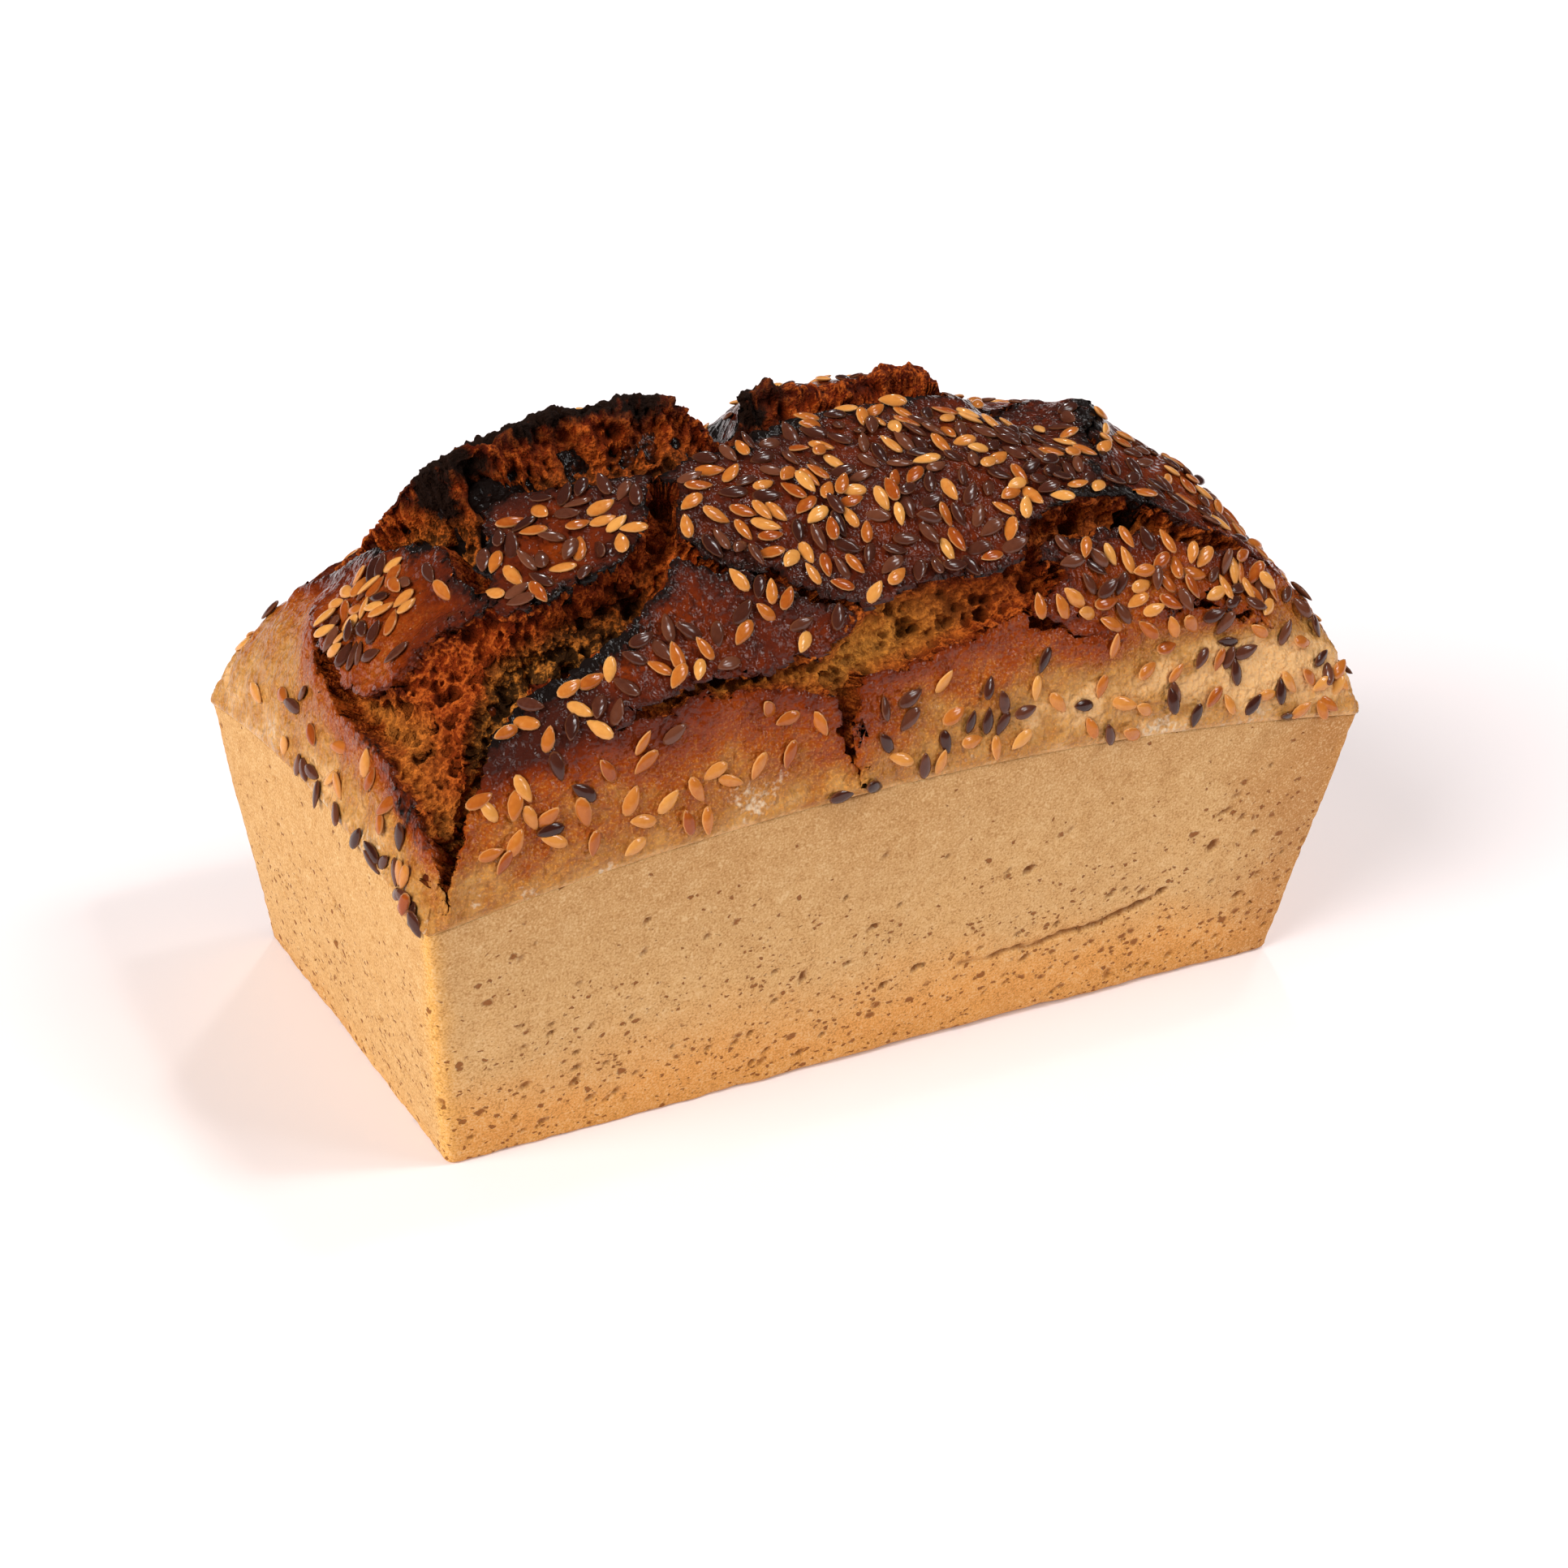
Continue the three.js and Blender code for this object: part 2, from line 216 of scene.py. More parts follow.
def close_towards(piece: Piece, heart_height: float, draw_in: float) -> None:
    """Closes every open border of a piece with a fan that runs to a point deep in the loaf.

    Args:
        piece: the open mesh.
        heart_height: height of that point over the middle of the base, in millimetres.
        draw_in: how far each fan's tip is pulled from its border's middle towards the point, 0..1.
    """
    with edit_mode(piece):
        bpy.ops.mesh.select_non_manifold(extend=False, use_wire=False, use_boundary=True, use_multi_face=False,
                                         use_non_contiguous=False, use_verts=False)
        bpy.ops.mesh.extrude_edges_move()
    points = get_points(piece)
    for loop in selected_loops(piece):
        middle = points[loop].mean(axis=0)
        points[loop] = middle * (1 - draw_in) + np.array([0, 0, heart_height]) * MM * draw_in
    set_points(piece, points / MM)
    bpy.ops.object.mode_set(mode="EDIT")
    bpy.ops.mesh.remove_doubles(threshold=1e-7)
    bpy.ops.object.mode_set(mode="OBJECT")


def selected_loops(piece: Piece) -> list[list[int]]:
    """Sorts the vertices of a piece's selected edges into connected loops."""
    edges = piece.data.edges
    chosen = read_all(edges, "select", kind=bool)
    neighbours: dict[int, list[int]] = {}
    for one, other in read_all(edges, "vertices", 2, int)[chosen].tolist():
        neighbours.setdefault(one, []).append(other)
        neighbours.setdefault(other, []).append(one)
    loops = []
    waiting = set(neighbours)
    while waiting:
        loop = [waiting.pop()]
        for vertex in loop:
            fresh = [other for other in neighbours[vertex] if other in waiting]
            waiting.difference_update(fresh)
            loop.extend(fresh)
        loops.append(loop)
    return loops


def smooth_and_dress(piece: Piece, material: bpy.types.Material) -> None:
    """Gives a piece smooth shading and its one material."""
    select_only(piece)
    bpy.ops.object.shade_smooth()
    piece.data.materials.clear()
    piece.data.materials.append(material)


def place_on_loaf(piece: Piece) -> None:
    """Hangs a piece on the loaf's body, hides the CAD solid that it stands for, and logs its triangles."""
    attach(piece, BODY)
    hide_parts(NODE)
    triangles = sum(len(polygon.vertices) - 2 for polygon in piece.data.polygons)
    log.info("%s: %d triangles", piece.name, triangles)


# ---- the loaf's form ----


@dataclass(frozen=True)
class LoafForm:
    """The plain loaf: walls pressed by the tin, the rim line, and the dome before it burst."""

    base_half_length: float = 92.3
    base_half_width: float = 44.4
    end_wall_lean: float = 0.146
    side_wall_lean: float = 0.167
    wall_corner_radius: float = 1.6
    rim_height: float = 54.0
    rim_tilt_along: float = 1.0
    rim_tilt_across: float = -2.5
    side_rim_bow: float = 8.5
    end_rim_bow: float = 5.0
    crown_height: float = 117.5
    dome_power_along: float = 2.85
    dome_root_along: float = 1.72
    dome_power_across: float = 2.2
    dome_root_across: float = 1.8
    corner_fullness: float = 0.5
    crown_to_end: float = 124.0
    crown_to_side: float = 89.0
    slope_step: float = 1.0

    @property
    def reach(self) -> Array:
        """How far the crust runs from the crown, along and across, as a (2, 1) column."""
        return np.array([[self.crown_to_end], [self.crown_to_side]])

    def half_size(self, height: Array | float) -> tuple[Array | float, Array | float]:
        """Half the length and half the width of the plan at a height of the walls."""
        return (self.base_half_length + self.end_wall_lean * height,
                self.base_half_width + self.side_wall_lean * height)

    def plan_point(self, u: Array, v: Array, height: Array | float) -> tuple[Array, Array]:
        """Rounds the corners of the rectangular plan at a height of the walls.

        Args:
            u: place along the loaf, -1..1.
            v: place across it, -1..1.
            height: height on the wall, which sets the plan's size.

        Returns:
            x and y in millimetres.
        """
        half_length, half_width = self.half_size(height)
        x = u * half_length
        y = v * half_width
        over_x = np.maximum(np.abs(x) - (half_length - self.wall_corner_radius), 0.0)
        over_y = np.maximum(np.abs(y) - (half_width - self.wall_corner_radius), 0.0)
        squeeze = np.where((over_x > 0) & (over_y > 0),
                           np.maximum(over_x, over_y) / np.maximum(np.hypot(over_x, over_y), 1e-9), 1.0)
        return x - np.sign(x) * over_x * (1 - squeeze), y - np.sign(y) * over_y * (1 - squeeze)

    def rim(self, u: Array, v: Array) -> Array:
        """Height of the rim line and of its smooth continuation inside the loaf."""
        side_middle = 1 - u * u
        bow = self.side_rim_bow * side_middle + self.end_rim_bow * (1 - v * v) * (1 - side_middle)
        return self.rim_height + self.rim_tilt_along * u + self.rim_tilt_across * v + bow

    def rise(self, u: Array, v: Array) -> Array:
        """Share of the dome's full rise: 1 at the crown and 0 along the rim."""
        along = np.maximum(1 - np.abs(u) ** self.dome_power_along, 0) ** (1 / self.dome_root_along)
        across = np.maximum(1 - np.abs(v) ** self.dome_power_across, 0) ** (1 / self.dome_root_across)
        tiny = 1e-9
        inverse = np.maximum(along, tiny) ** -self.corner_fullness
        inverse = inverse + np.maximum(across, tiny) ** -self.corner_fullness - 1
        return np.where((along > tiny) & (across > tiny), inverse ** (-1 / self.corner_fullness), 0.0)

    def share(self, spots: Array) -> Array:
        """Turns spots into plan positions u and v of -1..1."""
        return np.sin(np.clip(spots / self.reach, -1, 1) * QUARTER_TURN)

    def dome(self, spots: Array) -> Array:
        """(n, 3) points of the unbroken dome."""
        u, v = self.share(spots)
        rim = self.rim(u, v)
        x, y = self.plan_point(u, v, self.rim_height)
        return np.stack([x, y, rim + (self.crown_height - rim) * self.rise(u, v)], axis=1)

    def over_dome(self, spots: Array, height: Array) -> Array:
        """(n, 3) points that stand this high over the unbroken dome."""
        return self.dome(spots) + normals_of(self.dome, spots, self.slope_step) * height[:, None]

    def to_rim(self, spots: Array) -> Array:
        """Distance over the crust to the rim."""
        return (self.reach - np.abs(spots)).min(axis=0)


@dataclass(frozen=True)
class Blob:
    """A soft-edged oval over the crust with a strength at its middle."""

    along: float
    across: float
    reach_along: float
    reach_across: float
    amount: float

    def at(self, spots: Array) -> Array:
        """Strength at the spots."""
        off_along = (spots[0] - self.along) / self.reach_along
        off_across = (spots[1] - self.across) / self.reach_across
        return self.amount * np.exp(-(off_along**2) - off_across**2)


def blobs(*rows: tuple[float, float, float, float, float]) -> tuple[Blob, ...]:
    """Makes blobs from rows of middle along and across, reach along and across, and amount."""
    return tuple(Blob(*row) for row in rows)


def sum_blobs(parts: Sequence[Blob], spots: Array) -> Array:
    """Adds up the strengths of blobs at the spots."""
    return sum(blob.at(spots) for blob in parts)


@dataclass(frozen=True)
class Path:
    """A line over the crust through points of along, across and a size."""

    points: tuple[tuple[float, float, float], ...]

    def nearest(self, spots: Array) -> tuple[Array, Array, Array]:
        """Finds the nearest place on the line.

        Args:
            spots: places over the crust.

        Returns:
            Distance, side (+1 on the far, +across side) and the line's size there.
        """
        distance = np.full_like(spots[0], np.inf)
        side = np.ones_like(distance)
        size = np.zeros_like(distance)
        for start, end in zip(self.points, self.points[1:]):
            run_along = end[0] - start[0]
            run_across = end[1] - start[1]
            from_along = spots[0] - start[0]
            from_across = spots[1] - start[1]
            forward = from_along * run_along + from_across * run_across
            share = np.clip(forward / (run_along**2 + run_across**2), 0, 1)
            off_along = from_along - share * run_along
            off_across = from_across - share * run_across
            here = np.hypot(off_along, off_across)
            nearer = here < distance
            to_far = (off_across * run_along - off_along * run_across) * (-1 if run_along < 0 else 1)
            distance = np.where(nearer, here, distance)
            side = np.where(nearer, np.where(to_far < 0, -1.0, 1.0), side)
            size = np.where(nearer, start[2] + share * (end[2] - start[2]), size)
        return distance, side, size


@dataclass(frozen=True)
class Tear(Path):
    """A burst in the crust along a path whose size is the tear's half width."""

    depth: float = 5.0
    ledge: float = 0.9  # crumb that lies bare along the far edge before it drops


@dataclass
class TornPlaces:
    """What the tears do at the spots."""

    edge: Array  # distance to the nearest edge of a tear, negative inside one
    depth: Array  # how far the crumb lies under the skin
    far_side: Array  # True on the far side of the nearest tear


@dataclass(frozen=True)
class BurstCrust:
    """Relief of the domed top: swellings, torn crests and the tears between its plates."""

    form: LoafForm = LoafForm()
    swells: tuple[Blob, ...] = blobs(
        (43, 12, 17, 30, -6), (-9, 15, 5, 16, -7), (-9, 32, 8, 14, -9), (5, 13, 14, 12, -2.4),
        (-72, 40, 16, 18, -4), (-50, -58, 34, 12, 1.6), (-84, -4, 9, 14, 1.8), (-50, -12, 11, 8, 1.6),
        (2, -32, 30, 14, 1.2), (48, -54, 30, 9, 1.8), (38, 2, 7, 14, -3.2), (52, 0, 9, 9, 4.2),
    )
    crests: tuple[Path, ...] = (
        Path(((-72, 40, 0), (-64, 26, 3.5), (-56, 18, 5.5), (-48, 15, 6), (-34, 15, 4.5), (-22, 15, 3),
              (-12, 14, 0))),
        Path(((-6, 13, 0), (-2, 13, 3), (8, 13, 1), (18, 13, 1.5), (26, 13, 3), (31, 13, 0))),
    )
    # the left tip of the short crest leans over towards the long one
    leaning_tip: Blob = Blob(-1, 13, 4, 6, 4.5)
    crest_front_reach: float = 5.0
    crest_back_reach: float = 16.0
    tears: tuple[Tear, ...] = (
        # corner tear, from the near left corner up to the middle of the top
        Tear(((-103, -81, 1), (-98, -70, 3.4), (-92, -60, 5), (-85, -51, 7), (-78, -42, 8.5), (-70, -36, 9.5),
              (-58, -38, 9), (-49, -38, 7), (-41, -35, 5.5), (-35, -28, 3.5), (-31, -18, 4)), 12),
        # bare slope of crumb from that tear up to the flap and the left plate
        Tear(((-103, -73, 1.2), (-98, -62, 4.6), (-92, -51, 9), (-89, -37, 12), (-82, -30, 11.5),
              (-72, -31, 10)), 5.5, 0.2),
        # crest tear, the long one in front of the standing crests
        Tear(((-80, 47, 2.5), (-71, 33, 7), (-65, 19, 9.5), (-60, 9, 10.5), (-48, 7, 10), (-40, 4, 13),
              (-30, 1, 15), (-20, 2, 14), (-9, 5, 11), (2, 5, 9.5), (16, 5, 9), (26, 6, 7.5), (36, 8, 4),
              (44, 9, 1.5)), 13, 3.6),
        # gap by the left end
        Tear(((-90, 20, 1), (-95, 9, 2.2), (-98, -2, 2.6), (-97, -14, 4), (-92, -26, 8))),
        # gap between the two left plates
        Tear(((-61, 3, 6), (-64, -10, 4), (-65, -21, 1)), 9),
        # slit over the front band
        Tear(((-53, -60, 0.9), (-42, -59, 2.0), (-24, -60, 2.8), (-17, -62, 4), (-12, -60, 5.5)), 2.8),
        # front tear under the large seeded plate
        Tear(((-12, -60, 5.5), (-6, -58, 7), (3, -56, 6.8), (11, -55, 5.6), (24, -51, 3))),
        # right tear and its tail
        Tear(((19, -51, 2), (24, -43, 3), (34, -41, 4.5), (45, -40, 5), (52, -44, 5), (65, -45, 3.5),
              (79, -48, 2), (92, -53, 1.4), (100, -61, 0.8)), 6.5),
        # split that runs down the front band
        Tear(((-13, -63, 3), (-14, -72, 2.3), (-13, -81, 1.3), (-12, -87, 0.4))),
        # step between the glossy middle plate and the seeded plate above it
        Tear(((-34, -30, 2.5), (-28, -39, 1.6), (-20, -44, 1.2), (-10, -51, 1.8)), 4),
        # fissures
        Tear(((43, -62, 0.6), (55, -60, 1.3), (63, -62, 1.3), (70, -64, 0.6)), 3),
        Tear(((19, -60, 2), (27, -64, 0.9), (34, -66, 0.4)), 3),
        Tear(((56, 1, 0.8), (47, -17, 1.4), (41, -28, 0.8)), 3),
    )
    near_ledge: float = 0.4
    depth_per_half_width: float = 1.9
    far_wall_share: float = 0.75
    near_wall_share: float = 0.35
    lip_height: float = 1.4
    lip_reach: float = 3.5
    rim_roll: float = 0.45
    rim_roll_reach: float = 5.0
    slope_step: float = 0.3

    def torn(self, spots: Array) -> TornPlaces:
        """Finds what the tears, with their ragged edges, do at the spots."""
        flat = flat_points(spots)
        ragged = np.stack([row + noises(flat, (1.4, 9.0, salt), (1.3, 4.2, salt + 1), (0.8, 1.9, salt + 2))
                           for row, salt in zip(spots, (11, 31))])
        edge = np.full_like(spots[0], np.inf)
        depth = np.zeros_like(edge)
        far_side = np.zeros(len(edge), bool)
        for tear in self.tears:
            distance, side, size = tear.nearest(ragged)
            nearer = distance - size < edge
            edge = np.where(nearer, distance - size, edge)
            far_side = np.where(nearer, side > 0, far_side)
            bare = np.minimum(np.where(side > 0, tear.ledge, self.near_ledge), 0.5 * size)
            inset = np.clip((size - distance - bare) / np.maximum(size - bare, 0.1), 0, 1)
            wall_share = np.where(side > 0, self.far_wall_share, self.near_wall_share)
            fall = np.sin(np.minimum(inset / wall_share, 1) * QUARTER_TURN)
            depth = np.maximum(depth, np.minimum(tear.depth, size * self.depth_per_half_width) * fall)
        return TornPlaces(edge, depth, far_side)

    def edge_slope(self, spots: Array) -> Array:
        """Unit direction over the crust that leads out of the nearest tear, as a (2, n) array."""
        slope = np.stack([self.torn(spots + step).edge - self.torn(spots - step).edge
                          for step in self.slope_step * np.eye(2)[:, :, None]])
        return slope / np.maximum(np.hypot(*slope), 1e-6)

    def crest(self, spots: Array) -> Array:
        """Height of the standing crests."""
        height = np.zeros_like(spots[0])
        for path in self.crests:
            distance, side, size = path.nearest(spots)
            reach = np.where(side > 0, self.crest_back_reach, self.crest_front_reach)
            height = np.maximum(height, size * np.exp(-((distance / reach) ** 2)))
        return height

    def tip_lean(self, spots: Array) -> Array:
        """(n, 3) shift of the tip that leans to the left."""
        lean = -self.leaning_tip.at(spots) * np.clip(self.crest(spots) / 3, 0, 1)
        return lean[:, None] * np.array([1.0, 0.0, 0.0])

    def fade(self, spots: Array) -> Array:
        """Relief fades out at the rim, where the tin held the dough."""
        return smoothstep(self.form.to_rim(spots), 0.0, self.lip_reach)

    def skin_height(self, spots: Array, edge: Array) -> Array:
        """Height of the whole skin over the unbroken dome, as if no tear went into it."""
        lip = self.lip_height * np.exp(-((np.maximum(edge, 0) / self.lip_reach) ** 2))
        broad = sum_blobs(self.swells, spots) + self.crest(spots) + lip
        flat = flat_points(spots)
        to_rim = self.form.to_rim(spots)
        roll = self.rim_roll * (1 + 1.2 * noise(flat, 11.0, 65)) * smoothstep(to_rim, 0.0, 1.5)
        uneven = noises(flat, (0.7, 13.0, 51), (0.35, 5.5, 52))
        return self.fade(spots) * (broad + uneven) + roll * np.exp(-((to_rim / self.rim_roll_reach) ** 2))


# ---- finishes ----


def add_node(tree: bpy.types.NodeTree, kind: str, inputs: dict | tuple = (), out: int | str | tuple = 0,
             stops: Stops = (), **settings: object) -> Socket | list[Socket] | None:
    """Adds a shader node with its settings, values and links.

    Args:
        tree: the node tree that gets it.
        kind: Blender's name for the kind of node, without ShaderNode.
        inputs: values, or the sockets that feed them, by input name or number, or all in order.
        out: the output to return, or a tuple of several.
        stops: places and hex colours, for a colour ramp only.
        settings: properties of the node itself.

    Returns:
        The output socket, a list of them, or None for a node without outputs.
    """
    node = tree.nodes.new("ShaderNode" + kind)
    for name, value in settings.items():
        setattr(node, name, value)
    for key, value in inputs.items() if isinstance(inputs, dict) else enumerate(inputs):
        if isinstance(value, Socket):
            tree.links.new(value, node.inputs[key])
        else:
            node.inputs[key].default_value = value
    if stops:
        elements = node.color_ramp.elements
        while len(elements) < len(stops):
            elements.new(1.0)
        for element, (place, colour) in zip(elements, stops):
            element.position = place
            element.color = linear(colour)
    if isinstance(out, tuple):
        return [node.outputs[name] for name in out]
    return node.outputs[out] if node.outputs else None


@dataclass(frozen=True)
class Finish:
    """A material made of nodes. Patterns are sized in millimetres and read Object coordinates."""

    name: str

    def build(self) -> bpy.types.Material:
        """Makes the material from the inputs that the finish works out for its shader."""
        material = bpy.data.materials.new(self.name)
        material.use_nodes = True
        material.node_tree.nodes.clear()
        node = partial(add_node, material.node_tree)
        looks = self.dress(node, node("TexCoord", out="Object"))
        node("OutputMaterial", {"Surface": node("BsdfPrincipled", {"IOR": 1.45, "Metallic": 0.0, **looks})})
        return material

    def dress(self, node: Callable, place: Socket) -> dict:
        """Adds the finish's own nodes.

        Args:
            node: adds a node to the material.
            place: Object coordinates.

        Returns:
            Values and sockets for the shader's inputs.
        """
        raise NotImplementedError


@dataclass(frozen=True)
class BakedSkin(Finish):
    """Dark rye crust: dough skin dried and browned in the oven, glossy where starch gelled, burnt on edges."""

    name: str = "baked rye crust"
    bake_stops: Stops = ((0.00, "#DFAE74"), (0.12, "#BC8646"), (0.25, "#A6682C"), (0.40, "#9A4A14"),
                         (0.55, "#8A370B"), (0.70, "#702809"), (0.85, "#581F0E"), (1.00, "#3E1A12"))
    fleck_colour: str = "#DC9444"
    char_colour: str = "#17100E"
    torn_colour: str = "#7A3413"
    flour_colour: str = "#E6CFAE"

    def dress(self, node: Callable, place: Socket) -> dict:
        """Browning from the bake shade, mottled; char and flour over it; gloss follows the browning."""
        bake, char, torn, flour = (node("Attribute", out="Fac", attribute_name=name)
                                   for name in ("bake", "char", "torn", "flour"))
        blotch, freckle, grain, pebble = (
            node("TexNoise", {"Vector": place, "Scale": 1 / (size * MM), "Detail": detail}, "Fac")
            for size, detail in ((5.0, 3.0), (1.1, 3.0), (0.45, 2.0), (1.7, 1.5)))
        uneven = node("Math", (blotch, 0.30, bake), operation="MULTIPLY_ADD")
        uneven = node("Math", (freckle, 0.26, uneven), operation="MULTIPLY_ADD")
        uneven = node("Math", (uneven, 0.28), operation="SUBTRACT")
        bright_grain = node("MapRange", {"Value": grain, "From Min": 0.52, "From Max": 0.68, "To Max": 0.6})
        little_baked = node("MapRange", {"Value": bake, "From Min": 0.70, "From Max": 0.25})
        flecks = node("Math", (bright_grain, little_baked), operation="MULTIPLY")
        specks = node("Math", (flour, freckle), operation="MULTIPLY")
        floury = node("MapRange", {"Value": specks, "From Min": 0.42, "From Max": 0.62, "To Max": 0.75})
        char_rough = node("Math", (freckle, 0.9, char), operation="MULTIPLY_ADD")
        burnt = node("MapRange", {"Value": char_rough, "From Min": 0.62, "From Max": 1.05})
        colour = node("ValToRGB", (uneven,), "Color", self.bake_stops)
        for mask, over in ((flecks, self.fleck_colour), (floury, self.flour_colour), (torn, self.torn_colour),
                           (burnt, self.char_colour)):
            colour = node("Mix", {0: mask, 6: colour, 7: linear(over)}, 2, data_type="RGBA")

        matt = node("MapRange", {"Value": bake, "From Min": 0.15, "From Max": 0.75, "To Min": 0.30,
                                 "To Max": 0.08})
        matt = node("Math", (blotch, 0.20, matt), operation="MULTIPLY_ADD")
        matt = node("Math", (burnt, 0.08, matt), operation="MULTIPLY_ADD")
        matt = node("Math", (matt, 0.10), operation="SUBTRACT", use_clamp=True)
        # pebbles of the dried skin, about 2 mm apart, with grain on them
        wrinkle = node("Bump", {"Strength": 1.0, "Distance": 1.5 * MM, "Height": pebble})
        fine = node("Bump", {"Strength": 0.5, "Distance": 0.25 * MM, "Height": grain, "Normal": wrinkle})
        return {"Base Color": colour, "Roughness": matt, "Specular IOR Level": 0.28, "Normal": fine}


@dataclass(frozen=True)
class TinPressedCrust(Finish):
    """Pale crust pressed by the tin: matt, fine-grained, flecked with bran, with small open pores."""

    name: str = "tin-pressed rye crust"
    height_stops: Stops = ((0.00, "#C69760"), (0.30, "#CDA16A"), (0.60, "#D5A86E"), (0.85, "#E2A156"),
                           (1.00, "#D8964A"))
    edge_colour: str = "#E2A85A"
    tanned_colour: str = "#B4763A"
    light_grain: str = "#E9C896"
    dark_grain: str = "#A06C36"
    # painted shade inside the pores, the pits and the crease
    pore_shade_colour: str = "#84481A"
    # pores: lattice spacing in millimetres, widest radius as a share of it, share of cells that have one
    pore_sizes: tuple[tuple[float, float, float], ...] = (
        (3.4, 0.30, 0.70), (1.8, 0.36, 0.60), (1.0, 0.42, 0.60))
    pore_slant: float = math.radians(18)

    def dress(self, node: Callable, place: Socket) -> dict:
        """Colour by height, browner on the edges; bran flecks; painted shade in three sizes of pores, the pits
        and the crease.
        """
        low, edge, pit_shade, porous, tanned = (node("Attribute", out="Fac", attribute_name=name)
                                             for name in ("low", "edge", "pit", "porous", "tanned"))
        (cloud, _), (mottle, _), (grain, _), (_, warp) = (
            node("TexNoise", {"Vector": place, "Scale": 1 / (size * MM), "Detail": detail}, ("Fac", "Color"))
            for size, detail in ((22.0, 3.0), (3.0, 4.0), (0.42, 2.0), (1.2, 3.0)))
        at = node("Math", (cloud, 0.45, low), operation="MULTIPLY_ADD")
        at = node("Math", (at, 0.22), operation="SUBTRACT")
        lumpy = node("Math", (mottle, 0.35, grain), operation="MULTIPLY_ADD")
        light = node("MapRange", {"Value": lumpy, "From Min": 0.69, "From Max": 0.90, "To Max": 0.6})
        dark = node("MapRange", {"Value": lumpy, "From Min": 0.65, "From Max": 0.46, "To Max": 0.65})

        # pores lie flat and slightly slanting, as the dough rose: lattice cells stretched along the wall
        warped = node("VectorMath", (warp, (1.7 * MM,) * 3, place), operation="MULTIPLY_ADD")
        slanted = node("Mapping", {"Vector": warped, "Rotation": (0.0, self.pore_slant, 0.0),
                                   "Scale": (0.75, 0.75, 1.0)})
        pores = 0.0
        for cell, widest, crowd in self.pore_sizes:
            distance, lattice = node("TexVoronoi", {"Vector": slanted, "Scale": 1 / (cell * MM)},
                                     ("Distance", "Color"))
            chance, breadth = node("SeparateColor", (lattice,), (0, 1))
            here = node("Math", (porous, crowd), operation="MULTIPLY")
            open_pore = node("Math", (chance, here), operation="LESS_THAN")
            width = node("Math", (breadth, widest), operation="MULTIPLY")
            depth = node("Math", (width, distance), operation="SUBTRACT")
            sharp = node("MapRange", {"Value": depth, "From Min": 0.0, "From Max": 0.10})
            shown = node("Math", (sharp, open_pore), operation="MULTIPLY")
            pores = node("Math", (pores, shown), operation="MAXIMUM")
        # painted shade: the pores and the modelled pits and crease turn dark brown
        pore_shade = node("Math", (pores, pit_shade), operation="MAXIMUM", use_clamp=True)
        pore_shade = node("Math", (pore_shade, 0.85), operation="MULTIPLY")

        colour = node("ValToRGB", (at,), "Color", self.height_stops)
        for mask, over in ((edge, self.edge_colour), (tanned, self.tanned_colour), (light, self.light_grain),
                           (dark, self.dark_grain), (pore_shade, self.pore_shade_colour)):
            colour = node("Mix", {0: mask, 6: colour, 7: linear(over)}, 2, data_type="RGBA")
        rough = node("Bump", {"Strength": 0.5, "Distance": 0.22 * MM, "Height": grain})
        sunk = node("Bump", {"Strength": 0.7, "Distance": 0.45 * MM, "Height": pores, "Normal": rough},
                    invert=True)
        return {"Base Color": colour, "Roughness": 0.72, "Specular IOR Level": 0.2, "Normal": sunk}


